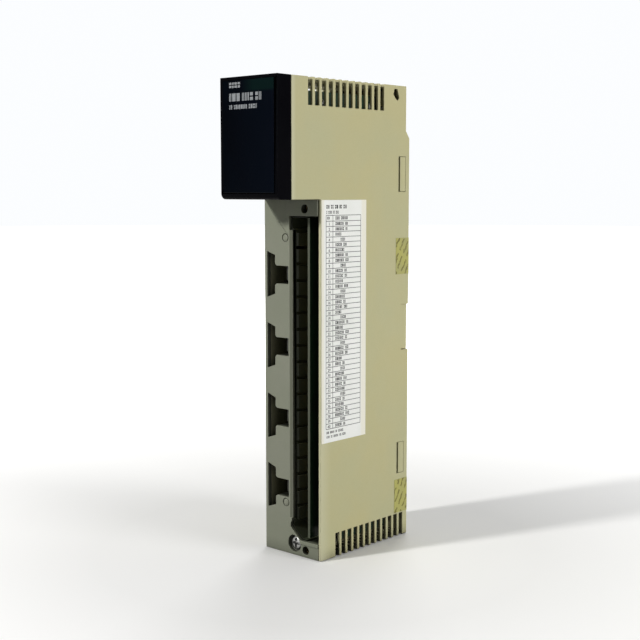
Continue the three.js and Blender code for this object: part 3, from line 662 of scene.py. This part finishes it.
def offset_line(points, by):
    """The line moved sideways by that much, mitred at its bends."""
    moved = []
    for i, (u, v) in enumerate(points):
        before = Vector(points[max(i - 1, 0)])
        after = Vector(points[min(i + 1, len(points) - 1)])
        here = Vector((u, v))
        ways = [way.normalized() for way in (here - before, after - here) if way.length > 1e-9]
        middle = sum(ways, Vector((0, 0))).normalized()
        stretch = by / max(middle.dot(ways[0]), 0.3)
        moved.append((u - middle.y * stretch, v + middle.x * stretch))
    return moved


def turned(u, v, w, origin=(0, 0, 0)):
    """The matrix that takes a shape's own axes to these row-frame directions, from an origin."""
    matrix = Matrix((u, v, w)).transposed().to_4x4()
    return Matrix.Translation(origin) @ matrix


X, Y, Z = (1, 0, 0), (0, 1, 0), (0, 0, 1)
MINUS_X, MINUS_Y = (-1, 0, 0), (0, -1, 0)


def shapes_of_digits():
    """Meshes of the ten digits, 1 mm tall, 1 mm thick and standing on the baseline."""
    digits = {}
    for digit in "0123456789":
        curve = bpy.data.curves.new("digit", "FONT")
        curve.body = digit
        curve.size = 1.4
        curve.offset = 0.025
        curve.extrude = 0.5
        curve.resolution_u = 3
        holder = placed("digit", curve)
        digits[digit] = bpy.data.meshes.new_from_object(holder)
        bpy.data.objects.remove(holder)
    return digits


DIGITS = shapes_of_digits()
PRINT = 0.015  # how far ink stands off, in millimetres


def number(build, value, u, v, height, paint, level=0.0):
    """Prints a number with its lower left corner at u, v, on a face at that level."""
    step = height * 0.78
    for i, digit in enumerate(str(value)):
        size = Matrix.Diagonal((height, height, 2 * PRINT, 1))
        build.stamp(DIGITS[digit], Matrix.Translation((u + i * step, v, level)) @ size, paint)


def blank_word(build, rng, u, v, height, marks, paint, bold=0.75):
    """Stands for printed text: a run of plain upright marks that spell nothing. Gives back its end."""
    for _ in range(marks):
        width = height * rng.uniform(0.32, 0.62) * bold
        whole, pair = [(0, 1, 0, 1)], [(0, 0.38, 0, 1), (0.62, 1, 0, 1)]
        stack = [(0, 1, 0, 0.42), (0, 1, 0.58, 1)]
        for left, right, foot, top in rng.choice((whole, pair, stack)):
            low = (u + left * width, v + foot * height, -PRINT)
            build.block(low, (u + right * width, v + top * height, PRINT), paint)
        u += width + height * 0.17
    return u


def blank_line(build, rng, u, v, height, words, gap, paint, bold=0.75):
    """Blank words of those numbers of marks, a gap apart."""
    for marks in words:
        u = blank_word(build, rng, u, v, height, marks, paint, bold) + gap


# ---------------- prints


def nose_print():
    """Three lines of generic marks at the top left of the lens."""
    rng = random.Random(5)
    build = Build(turned(X, Z, MINUS_Y, (0, LENS[0].y, 0)))
    left = LENS[0].x + 4.9
    blank_line(build, rng, left, 244.5, 2.7, (4,), 0, "white_ink", 1.15)
    blank_line(build, rng, left, 237.9, 3.9, (3, 3, 2), 1.0, "white_ink", 1.15)
    blank_line(build, rng, left, 234.0, 2.1, (2, 7, 4), 0.9, "white_ink", 1.1)
    build.done("nose_print")


def label_print():
    """A ruled wiring table of numbered rows, with generic marks for names, on the side label."""
    low, high = spot("wiring_label")
    build = Build(turned(Y, Z, X, (high.x, low.y, low.z)))
    rng = random.Random(11)
    width, height = high.y - low.y, high.z - low.z
    rows, rule = 40, 0.28
    left, divide, right = 3.4, 8.6, width - 4.5
    top, bottom = height - 7.7, 7.2
    header = 3.1
    pitch = (top - header - bottom) / rows

    def line(u0, u1, v0, v1):
        build.block((u0, v0, -PRINT), (u1, v1, PRINT), "black_ink")

    blank_line(build, rng, 3.6, height - 4.4, 1.9, (2, 2, 2, 2, 2), 0.9, "black_ink", 1.0)
    blank_line(build, rng, 3.6, height - 7.0, 1.5, (1, 4, 2, 3), 0.7, "black_ink")
    line(left, right, top - rule, top)
    blank_line(build, rng, 10.5, top - 2.4, 1.7, (4, 6), 0.8, "black_ink")
    blank_word(build, rng, left + 0.8, top - 2.2, 1.4, 3, "black_ink")
    for row in range(rows + 1):
        v = top - header - row * pitch
        line(left, right, v - rule / 2, v + rule / 2)
    for u in (left, divide, right):
        line(u - rule / 2, u + rule / 2, bottom, top)
    for row in range(rows):
        v = top - header - (row + 1) * pitch + 0.55
        number(build, row + 1, left + (1.9 if row < 9 else 1.2), v, 1.5, "black_ink")
        if row % 5 == 3:
            blank_word(build, rng, 14.6, v, 1.6, 4, "black_ink", 0.95)
        else:
            end = blank_word(build, rng, 10.6, v, 1.6, rng.choice((5, 6, 7)), "black_ink", 0.95)
            if row % 3 != 2:
                blank_word(build, rng, end + 1.1, v, 1.6, rng.choice((2, 3)), "black_ink", 0.95)
    blank_line(build, rng, 3.8, 4.7, 1.25, (3, 5, 2, 6), 0.8, "black_ink")
    blank_line(build, rng, 3.8, 2.4, 1.25, (4, 2, 6, 3, 4), 0.8, "black_ink")
    build.done("label_print")


def legend_print():
    """Channel numbers and frames round the lamp windows, on the film behind the lens."""
    low, high = spot("legend_film")
    build = Build(turned(X, Z, MINUS_Y, (0, low.y, 0)))
    for i, (x, z) in enumerate(lamp_spots()):
        for rule in (z - 1.45, z + 1.45):
            build.block((x - 2.6, rule - 0.07, -PRINT), (x + 2.6, rule + 0.07, PRINT), "legend_ink")
        if i > 2:
            number(build, (i - 1) // 2, x + (3.2 if x > 0 else -4.6), z - 0.75, 1.5, "legend_ink")
    build.done("legend_print")


def lamp_spots():
    """Three status lamps over two columns of eight channel lamps, as [x, z]."""
    spots = [(x, 238) for x in (-10, 0, 10)]
    for row in range(8):
        spots += [(-7, 229 - 4.4 * row), (7, 229 - 4.4 * row)]
    return spots


# ---------------- board parts

LOGIC_FACE = spot("logic_board")[1].x
FIELD_INNER = spot("field_board")[0].x
FIELD_OUTER = spot("field_board")[1].x
ON_LOGIC = turned(Y, Z, X, (LOGIC_FACE, 0, 0))
ON_FIELD = turned(Y, Z, MINUS_X, (FIELD_INNER, 0, 0))
UNDER_FIELD = turned(Y, Z, X, (FIELD_OUTER, 0, 0))
UNDER_LOGIC = turned(Y, Z, MINUS_X, (spot("logic_board")[0].x, 0, 0))


def chip_resistor(build, u, v, upright):
    """A surface-mounted resistor: a ceramic body between two soldered ends."""
    end, neck, half = 1.0, 0.6, 0.625
    for low, high, tall, paint in (
        (-end, -neck, 0.56, "solder"),
        (neck, end, 0.56, "solder"),
        (-neck, neck, 0.5, "resistor"),
    ):
        if upright:
            build.block((u + low, v - half, 0), (u + high, v + half, tall), paint, 0.06)
        else:
            build.block((u - half, v + low, 0), (u + half, v + high, tall), paint, 0.06)


def chip_capacitor(build, u, v):
    end, neck, half, tall = 1.0, 0.65, 0.65, 1.0
    build.block((u - half, v - end, 0), (u + half, v - neck, tall), "solder", 0.1)
    build.block((u - half, v + neck, 0), (u + half, v + end, tall), "solder", 0.1)
    slim = half - 0.04
    build.block((u - slim, v - neck, 0.02), (u + slim, v + neck, tall - 0.05), "dielectric", 0.08)


def gull_leg(build, u, v, outward, across, width, lift):
    """A bent lead from a package's side to its pad. outward is a sign along u, or along v if across."""
    steps = [(0, lift), (0.35, lift), (0.55, 0.12), (1.0, 0.12)]
    for (a, wa), (b, wb) in zip(steps, steps[1:]):
        low, high = sorted((a * outward, b * outward))
        base, top = min(wa, wb) - 0.1, max(wa, wb) + 0.05
        if across:
            build.block((u - width / 2, v + low, base), (u + width / 2, v + high, top), "solder")
        else:
            build.block((u + low, v - width / 2, base), (u + high, v + width / 2, top), "solder")


def package(name, node, pins_along, pins_across=0):
    """A moulded chip in place of a plain block: chamfered body, rows of leads, and a first-pin dimple."""
    low, high = spot(node)
    build = Build(ON_LOGIC)
    reach = 1.0
    tall = high.x - low.x
    sides = (reach, reach if pins_across else 0.1)
    y0, y1 = low.y + sides[1], high.y - sides[1]
    z0, z1 = low.z + sides[0], high.z - sides[0]
    build.block((y0, z0, 0.2), (y1, z1, tall), "epoxy", 0.22)
    lift = tall * 0.5
    for i in range(pins_along):
        pitch = (y1 - y0) / pins_along
        for z, outward in ((z0, -1), (z1, 1)):
            gull_leg(build, y0 + pitch * (i + 0.5), z, outward, True, min(0.45, pitch / 2), lift)
    for i in range(pins_across):
        pitch = (z1 - z0) / pins_across
        for y, outward in ((y0, -1), (y1, 1)):
            gull_leg(build, y, z0 + pitch * (i + 0.5), outward, False, min(0.45, pitch / 2), lift)
    build.lathe([(0, 0), (0.5, 0), (0.42, 0.02), (0, 0.02)], "resistor", (y0 + 1.3, z0 + 1.3, tall - 0.005))
    rng = random.Random(len(name))
    for row in range(2):
        u, v = y0 + 3, z0 + 0.35 * (z1 - z0) + row * 1.5
        while u < y1 - 3.2:
            width = rng.uniform(0.35, 0.7)
            build.block((u, v, tall), (u + width, v + 0.9, tall + PRINT), "legend_ink")
            u += width + 0.3
    build.done(name, replaces=[node])


def isolator(index):
    """A potted isolating amplifier: a shell with a resin face, and pins soldered through the board."""
    low, high = spot(f"channel_isolator_{index}")
    build = Build(ON_FIELD)
    tall, wall = FIELD_INNER - low.x, 0.8
    build.block((low.y, low.z, 0.35), (high.y, high.z, tall - 0.4), "header", 0.5, 3)
    resin = (high.y - wall, high.z - wall, tall - 0.15)
    build.block((low.y + wall, low.z + wall, tall - 0.8), resin, "potting", 0.3, 2)
    number(build, index, low.y + 5.4, low.z + 4.4, 4.0, "legend_ink", tall - 0.13)
    for u in (low.y + 1.6, high.y - 1.6):
        for i in range(5):
            v = low.z + 1.4 + i * 2.54
            build.block((u - 0.3, v - 0.3, 0.02), (u + 0.3, v + 0.3, 0.4), "solder", 0.05)
    build.done(f"isolator_body_{index}", replaces=[f"channel_isolator_{index}"])


def capacitor_can(index):
    """An electrolytic capacitor on end: sleeve over the rim, crimp groove, scored top and rubber foot."""
    low, high = spot(f"capacitor_{index}")
    build = Build(ON_LOGIC)
    centre = ((low.y + high.y) / 2, (low.z + high.z) / 2, 0)
    r, tall = (high.y - low.y) / 2, high.x - low.x
    rim = [(r - 0.5 + 0.5 * math.sin(a), tall - 0.62 + 0.5 * math.cos(a)) for a in (1.57, 1.1, 0.7, 0.3, 0)]
    can = [(0, 0.5), (r * 0.86, 0.5), (r, 1.1), (r, 1.9), (r - 0.35, 2.3), (r - 0.35, 2.5), (r, 3.0)]
    lip = [(r - 1.2, tall - 0.12), (r - 1.2, tall - 0.3), (0, tall - 0.3)]
    build.lathe([*can, *rim, *lip], "sleeve", centre, sides=40)
    for radius, foot, top, paint in ((r * 0.8, 0, 0.6, "header"), (r - 1.25, tall - 0.32, tall - 0.2, "tin")):
        build.lathe([(0, foot), (radius, foot), (radius, top), (0, top)], paint, centre, sides=32)
    y, z, _ = centre
    for dy, dz in ((r * 0.6, 0.12), (0.12, r * 0.6)):
        build.block((y - dy, z - dz, tall - 0.22), (y + dy, z + dz, tall - 0.16), "header")
    build.done(f"capacitor_can_{index}", replaces=[f"capacitor_{index}"])


def transformer():
    """An isolating transformer: ferrite core, flanged bobbin, a taped winding that shows its turns, pins."""
    low, high = spot("isolation_transformer")
    build = Build(ON_FIELD)
    tall = FIELD_INNER - low.x
    y0, y1, z0, z1 = low.y, high.y, low.z, high.z
    for z in ((z0 + 2.6, z0 + 5.6), (z1 - 5.6, z1 - 2.6)):
        build.block((y0 + 0.6, z[0], 1.2), (y1 - 0.6, z[1], tall), "ferrite", 0.25, 2)
    for y in ((y0 + 0.6, y0 + 3.4), (y1 - 3.4, y1 - 0.6)):
        build.block((y[0], z0 + 5, 1.2), (y[1], z1 - 5, tall), "ferrite", 0.25, 2)
    turns, r, groove = 14, 4.15, 0.2
    length = z1 - z0 - 12.4
    step = length / turns
    winding = [(0, 0)]
    for i in range(turns):
        start = step * i
        winding += [(r - groove, start + 0.02), (r, start + step * 0.3)]
        winding += [(r, start + step * 0.7), (r - groove, start + step - 0.02)]
    winding.append((0, length))
    tape = [(0, length * 0.28), (r + 0.15, length * 0.28), (r + 0.15, length * 0.73), (0, length * 0.73)]
    for profile, paint in ((winding, "copper"), (tape, "tape")):
        build.lathe(profile, paint, ((y0 + y1) / 2, z0 + 6.2, 0.65 + tall / 2), axis="V", sides=28)
    for v in (z0 + 0.2, z1 - 2.4):
        build.block((y0, v, 0.3), (y1, v + 2.2, 2.4), "header", 0.25, 2)
        for i in range(4):
            u = y0 + 2.2 + i * (y1 - y0 - 4.4) / 3
            build.block((u - 0.35, v + 0.75, 0.02), (u + 0.35, v + 1.45, 0.5), "solder", 0.06)
    build.done("transformer_winding", replaces=["isolation_transformer"])


def converter_can():
    """A power converter in a drawn metal can, with a seam flange, stiffening beads and corner pins."""
    low, high = spot("power_converter")
    build = Build(ON_LOGIC)
    tall = high.x - low.x
    build.block((low.y, low.z, 0.5), (high.y, high.z, 1.1), "tin", 0.15, 2)
    build.block((low.y + 0.7, low.z + 0.7, 0.9), (high.y - 0.7, high.z - 0.7, tall - 0.1), "tin", 1.1, 4)
    for i in range(4):
        v = low.z + 6 + i * (high.z - low.z - 12) / 3
        build.block((low.y + 4, v - 0.45, tall - 0.3), (high.y - 4, v + 0.45, tall), "tin", 0.2, 2)
    for u in (low.y + 2.2, high.y - 2.2):
        for v in (low.z + 2.2, high.z - 2.2):
            build.block((u - 0.5, v - 0.5, 0.02), (u + 0.5, v + 0.5, 0.6), "solder", 0.08)
    build.done("converter_can", replaces=["power_converter"])


def pin_header(name, node, onto, columns, rows, face):
    """A board connector: a shrouded block with a grid of square pins or sockets in its mating face."""
    low, high = spot(node)
    tall = high.x - low.x
    build = Build(onto)
    build.block((low.y, low.z, 0), (high.y, high.z, tall - 0.25), "header", 0.25, 2)
    for i in range(columns):
        for j in range(rows):
            u = low.y + (high.y - low.y) * (i + 0.5) / columns
            v = low.z + (high.z - low.z) * (j + 0.5) / rows
            build.block((u - 0.32, v - 0.32, tall - 0.4), (u + 0.32, v + 0.32, tall), face, 0.08)
    for v in (low.z + 0.6, high.z - 0.6):
        build.block((low.y + 1, v - 0.3, tall - 0.5), (high.y - 1, v + 0.3, tall - 0.05), "header", 0.1)
    build.done(name, replaces=[node])


def lead_rows(build, u0, u1, v0, v1, rng, steps=(3.4, 4.2)):
    """Fills a rectangle of a board with columns of small parts."""
    u = u0
    while u < u1:
        v = v0
        while v < v1:
            kind = rng.random()
            if kind < 0.45:
                chip_resistor(build, u, v, kind < 0.2)
            elif kind < 0.75:
                chip_capacitor(build, u, v)
            v += steps[1]
        u += steps[0]


FINGERS = 40
TONGUE_TIP = FRAME_FACE + 0.6  # the connector tongue stands that far behind the frame's face


def finger_height(i):
    """The middle of a finger: they run up the tongue at an even pitch."""
    lowest, highest = 20.1, 172.3
    return lowest + (highest - lowest) * i / (FINGERS - 1)


def fingers(build):
    """Gold contacts along the connector tongue's edge."""
    for i in range(FINGERS):
        z = finger_height(i)
        build.block((TONGUE_TIP + 0.9, z - 0.85, -0.02), (TONGUE_TIP + 8.6, z + 0.85, 0.05), "gold", 0.02)


def field_traces(build):
    """Conductors from each finger to the isolator of its channel."""
    for i in range(FINGERS):
        z = finger_height(i)
        target = spot(f"channel_isolator_{i // 5 + 1}")[0].z + 1.4 + (i % 5) * 2.54
        y_start, y_end = TONGUE_TIP + 8.4, 3.6
        bend = y_start + 1.5 + 0.12 * (i % 5)
        run = min(abs(target - z), y_end - bend - 0.8)
        points = [(y_start, z), (bend, z), (bend + run, z + math.copysign(run, target - z))]
        if y_end - points[-1][0] > 0.3:
            points.append((y_end, points[-1][1]))
        build.ribbon(points, 0.5, -0.02, 0.04, "board")


def field_board_parts():
    rng = random.Random(3)
    build = Build(ON_FIELD)
    fingers(build)
    field_traces(build)
    for area in ((18.2, 22.5, 24, 190), (33.0, 42.5, 22, 72), (33.0, 36.5, 80, 170), (33.0, 42.5, 178, 216)):
        lead_rows(build, *area, rng)
    build.done("field_board_parts")
    back = Build(UNDER_FIELD)
    for i in range(8):
        low, high = spot(f"channel_isolator_{i + 1}")
        solder_joints(back, (low.y + 1.6, high.y - 1.6), low.z + 1.4, 2.54, 5)
    solder_joints(back, (25.5, 28.5), 97.5, 2.64, 18)
    lead_rows(back, 19.0, 22.8, 30, 180, rng, (3.4, 8.4))
    back.done("field_board_joints")


def solder_joints(build, columns, first, pitch, count):
    """Coned joints round pins, in columns of that many at an even pitch."""
    cone = [(0, 0), (0.85, 0), (0.6, 0.3), (0.32, 0.75), (0.25, 1.05), (0, 1.1)]
    for u in columns:
        for i in range(count):
            build.lathe(cone, "solder", (u, first + i * pitch, -0.02), sides=10)


def logic_board_parts():
    rng = random.Random(8)
    build = Build(ON_LOGIC)
    lead_rows(build, -4.0, -2.4, 20, 150, rng)
    lead_rows(build, 20.0, 36, 52, 56, rng)
    lead_rows(build, 20.0, 22.6, 64, 150, rng)
    lead_rows(build, 0.5, 17, 82, 150, rng, (4.6, 5.4))
    for area in ((33.0, 36.2, 64, 176), (22.5, 43, 186, 206), (-34.0, -30, 198, 238)):
        lead_rows(build, *area, rng)
    for i in range(9):
        low, right = 31 + 2 * i, 26 + i
        route = [(21, low), (right - 3, low), (right, low + 3), (right, low + 29), (38, 72 + i)]
        build.ribbon(route, 0.4, -0.02, 0.04, "board")
    build.done("logic_board_parts")
    back = Build(UNDER_LOGIC)
    solder_joints(back, (25.5, 28.5), 97.5, 2.64, 18)
    solder_joints(back, (40.2, 42.4), 84, 4.32, 20)
    lead_rows(back, 2.0, 17, 34, 46, rng)
    back.done("logic_board_joints")


def lamp_board_parts():
    """A lamp on its white body behind each window, and the driver's resistors."""
    low, high = spot("lamp_board")
    build = Build(turned(X, Z, MINUS_Y, (0, low.y, 0)))
    for i, (x, z) in enumerate(lamp_spots()):
        build.block((x - 1.6, z - 0.8, -0.01), (x + 1.6, z + 0.8, 0.65), "lamp_body", 0.1)
        colour = "red_lamp" if i == 2 else "green_lamp"
        dome = [(0, 0), (0.7, 0), (0.62, 0.25), (0.4, 0.5), (0.16, 0.62), (0, 0.64)]
        build.lathe(dome, colour, (x, z, 0.6), sides=16)
    for row in range(8):
        chip_resistor(build, 0, 229 - 4.4 * row, True)
    build.done("lamp_board_parts")


# ---------------- contacts and screws


def contact_springs(side):
    """Bowed gold leaves on a carrier, down one side of the backplane plug's slot."""
    name = "left" if side < 0 else "right"
    low, high = spot(f"{name}_plug_contacts")
    wall = low.x if side < 0 else high.x
    build = Build()
    count, thick, bow, steps = 20, 0.18, 0.5, 10
    line = []
    for j in range(steps + 1):
        share = j / steps
        out = thick / 2 + 0.02 + bow * math.sin(math.pi * min(1, share * 1.08)) ** 2
        line.append((wall - side * out, low.y + 0.1 + share * (high.y - low.y - 0.2)))
    for i in range(count):
        z = low.z + (i + 0.5) * (high.z - low.z) / count
        build.ribbon(line, thick, z - 1.0, z + 1.0, "gold")
    edge = sorted((wall, wall - side * 0.2))
    build.block((edge[0], low.y, low.z), (edge[1], low.y + 0.7, high.z), "gold", 0.05)
    build.done(f"{name}_contact_springs", replaces=[f"{name}_plug_contacts"])


def cross(size, deep, top):
    """The solid that a tapered cross recess takes away, down from w = top."""
    bm = bmesh.new()
    half = 0.125 * size
    for turn in (0, math.pi / 2):
        corners = []
        for w, long, wide in ((top + 1, 0.52 * size, half), (top - deep, 0.3 * size, half * 0.7)):
            for a, b in ((-long, -wide), (long, -wide), (long, wide), (-long, wide)):
                corners.append(bm.verts.new(Matrix.Rotation(turn, 3, "Z") @ Vector((a, b, w))))
        high, low = corners[:4], corners[4:]
        bm.faces.new(low)
        bm.faces.new(high)
        for i in range(4):
            j = (i + 1) % 4
            bm.faces.new((low[i], low[j], high[j], high[i]))
    return bm


def cut_cross(build, size, deep, top):
    """Cuts a cross recess into a screw's head, with Blender's exact boolean."""
    holders = []
    for bm in (build.bm, cross(size, deep, top)):
        bmesh.ops.recalc_face_normals(bm, faces=bm.faces)
        mesh = bpy.data.meshes.new("part")
        bm.to_mesh(mesh)
        bm.free()
        holders.append(placed("part", mesh))
    body, tool = holders
    cut = body.modifiers.new("Cut", "BOOLEAN")
    cut.operation = "DIFFERENCE"
    cut.solver = "EXACT"
    cut.use_self = True
    cut.object = tool
    graph = bpy.context.evaluated_depsgraph_get()
    made = bpy.data.meshes.new_from_object(body.evaluated_get(graph))
    build.bm = bmesh.new()
    build.bm.from_mesh(made)
    for holder in holders:
        bpy.data.objects.remove(holder)


def thread(build, length, root, crest, pitch, start):
    """A helical ridge of triangular section along w, closed at both ends."""
    steps, sides = int(length / pitch * 16), []
    for i in range(steps + 1):
        angle = 2 * math.pi * i / 16
        fade = min(1.0, i / 10, (steps - i) / 10)
        tip = root - 0.08 + (crest - root + 0.08) * max(fade, 0.15)
        at = start + pitch * i / 16
        ring = []
        for r, w in ((root - 0.12, at - pitch * 0.42), (tip, at), (root - 0.12, at + pitch * 0.42)):
            ring.append(build.bm.verts.new((r * math.cos(angle), r * math.sin(angle), w)))
        sides.append(ring)
    for a, b in zip(sides, sides[1:]):
        for j in range(3):
            k = (j + 1) % 3
            build.bm.faces.new((a[j], a[k], b[k], b[j]))
    build.bm.faces.new(sides[0])
    build.bm.faces.new(sides[-1])


def mounting_screw():
    """The long captive screw: pan head with a cross recess, plain shank, and a rolled thread at its tip."""
    low, high = spot("mounting_screw")
    length = high.y - low.y
    r, shank, head = (high.x - low.x) / 2, 1.95, 2.8
    centre = ((low.x + high.x) / 2, low.y, (low.z + high.z) / 2)
    build = Build()
    dome = [(0, 0)]
    for i in range(7):
        angle = math.pi / 2 * (i + 1) / 7
        dome.append((r * math.sin(angle) ** 0.7, 0.8 * (1 - math.cos(angle))))
    dome += [(r, head - 0.2), (r - 0.2, head), (shank + 0.3, head), (shank, head + 0.3)]
    threaded = 10.0
    neck = length - threaded
    profile = [*dome, (shank, neck - 0.4), (1.6, neck), (1.6, length - 0.9), (0.9, length), (0, length)]
    build.lathe([(a, -b) for a, b in profile], "zinc", sides=48)
    cut_cross(build, 2 * r, 1.9, 0)
    thread(build, threaded - 0.6, 1.6, 1.93, 1.1, 0.6 - length)
    bmesh.ops.transform(build.bm, matrix=turned(X, Z, MINUS_Y, centre), verts=build.bm.verts)
    build.done("mounting_screw_body", body="screw", replaces=["mounting_screw"])


def board_screw(index):
    """A small pan-head screw that holds the field board to its spacer."""
    low, high = spot(f"board_screw_{index}")
    build = Build()
    r, tall = (high.y - low.y) / 2, high.x - low.x
    dome = [(0, tall)]
    for i in range(5):
        angle = math.pi / 2 * (i + 1) / 5
        dome.append((r * math.sin(angle), tall - 0.8 * (1 - math.cos(angle))))
    build.lathe([*dome, (r, 0.1), (r - 0.1, 0), (0, 0)], "zinc", sides=32)
    cut_cross(build, 2 * r, 1.0, tall)
    place = turned(Y, Z, X, (low.x, (low.y + high.y) / 2, (low.z + high.z) / 2))
    bmesh.ops.transform(build.bm, matrix=place, verts=build.bm.verts)
    build.done(f"board_screw_head_{index}", replaces=[f"board_screw_{index}"])


nose_print()
label_print()
legend_print()
package("processor_package", "processor_chip", 24, 24)
package("bus_package", "bus_chip", 16, 16)
package("program_memory_package", "program_memory", 16)
package("data_memory_package", "data_memory", 16)
for number_on_board in range(1, 9):
    isolator(number_on_board)
for number_on_board in range(1, 4):
    capacitor_can(number_on_board)
transformer()
converter_can()
pin_header("field_link_socket", "field_link", ON_FIELD, 2, 18, "epoxy")
pin_header("logic_link_header", "logic_link", ON_LOGIC, 2, 18, "gold")
pin_header("lamp_header_block", "lamp_header", ON_LOGIC, 2, 9, "gold")
field_board_parts()
logic_board_parts()
lamp_board_parts()
contact_springs(-1)
contact_springs(1)
mounting_screw()
for number_on_board in range(1, 5):
    board_screw(number_on_board)


# ---------------- stage


def floor():
    """A wide pale floor, just under the object, that glows further out, where the lamps don't reach."""
    mesh = bpy.data.meshes.new("floor")
    bm = bmesh.new()
    bmesh.ops.create_circle(bm, cap_ends=True, segments=96, radius=6.0)
    bmesh.ops.translate(bm, vec=(0, 0, CAD_BOX[0].z - 0.0002), verts=bm.verts)
    bm.to_mesh(mesh)
    bm.free()
    piece = placed("floor", mesh)
    m = Nodes("floor", Roughness=0.9, Specular_IOR_Level=0.1)
    m.give("Base Color", m.blend(m.noise(3, 2), (0.9, 0.9, 0.89), (0.86, 0.86, 0.855)))
    away = m.add("ShaderNodeVectorMath", {0: m.place}, operation="LENGTH").outputs["Value"]
    m.give("Emission Color", (1.0, 1.0, 1.0))
    m.give("Emission Strength", m.span(away, 0.12, 0.8, 0.0, 0.95))
    mesh.materials.append(m.material)
    piece.visible_diffuse = False  # it throws no light back up at the object


def lamp(name, place, aim, size, watts, colour=(1, 1, 1)):
    data = bpy.data.lights.new(name, "AREA")
    data.shape = "DISK"
    data.size = size
    data.energy = watts
    data.color = colour
    light = placed(name, data)
    light.location = place
    light.rotation_mode = "QUATERNION"
    light.rotation_quaternion = (Vector(aim) - Vector(place)).to_track_quat("-Z", "Y")


def studio():
    world = bpy.data.worlds.new("studio")
    bpy.context.scene.world = world
    world.use_nodes = True
    tree = world.node_tree
    background = tree.nodes["Background"]
    background.inputs["Color"].default_value = (0.97, 0.985, 1.0, 1.0)
    seen = tree.nodes.new("ShaderNodeLightPath").outputs["Is Camera Ray"]
    strength = tree.nodes.new("ShaderNodeMapRange")
    strength.inputs["To Min"].default_value = 0.2
    strength.inputs["To Max"].default_value = 1.0
    tree.links.new(seen, strength.inputs["Value"])
    tree.links.new(strength.outputs[0], background.inputs["Strength"])
    middle = (CAD_BOX[0] + CAD_BOX[1]) / 2
    key_way = Vector((-0.39, -1.0, 0.49)).normalized()
    lamp("key", middle + key_way * 1.5, middle, 0.16, 17.6, (1.0, 0.99, 0.97))
    lamp("side", middle + Vector((1.3, 0.28, 0.2)), middle, 0.6, 13.0, (1.0, 0.99, 0.97))
    lamp("top", middle + Vector((0.0, 0.2, 1.7)), middle, 1.2, 3.5)
    lamp("rear", middle + Vector((-0.7, 1.2, 0.5)), middle, 0.8, 9.0)


def camera():
    """The corner view that the object is known from: front right, a little above, standing upright."""
    data = bpy.data.cameras.new("camera")
    data.lens = 66.203
    data.sensor_width = 36.0
    data.clip_start = 0.01
    piece = placed("camera", data)
    azimuth, down = math.radians(42.393), math.radians(6.289)
    back = Vector((math.sin(azimuth) * math.cos(down), -math.cos(azimuth) * math.cos(down), math.sin(down)))
    piece.location = (0.424143, -0.463501, 0.193736)
    piece.rotation_mode = "QUATERNION"
    piece.rotation_quaternion = (-back).to_track_quat("-Z", "Y")
    bpy.context.scene.camera = piece


floor()
studio()
camera()
bpy.context.scene.view_settings.view_transform = "Standard"
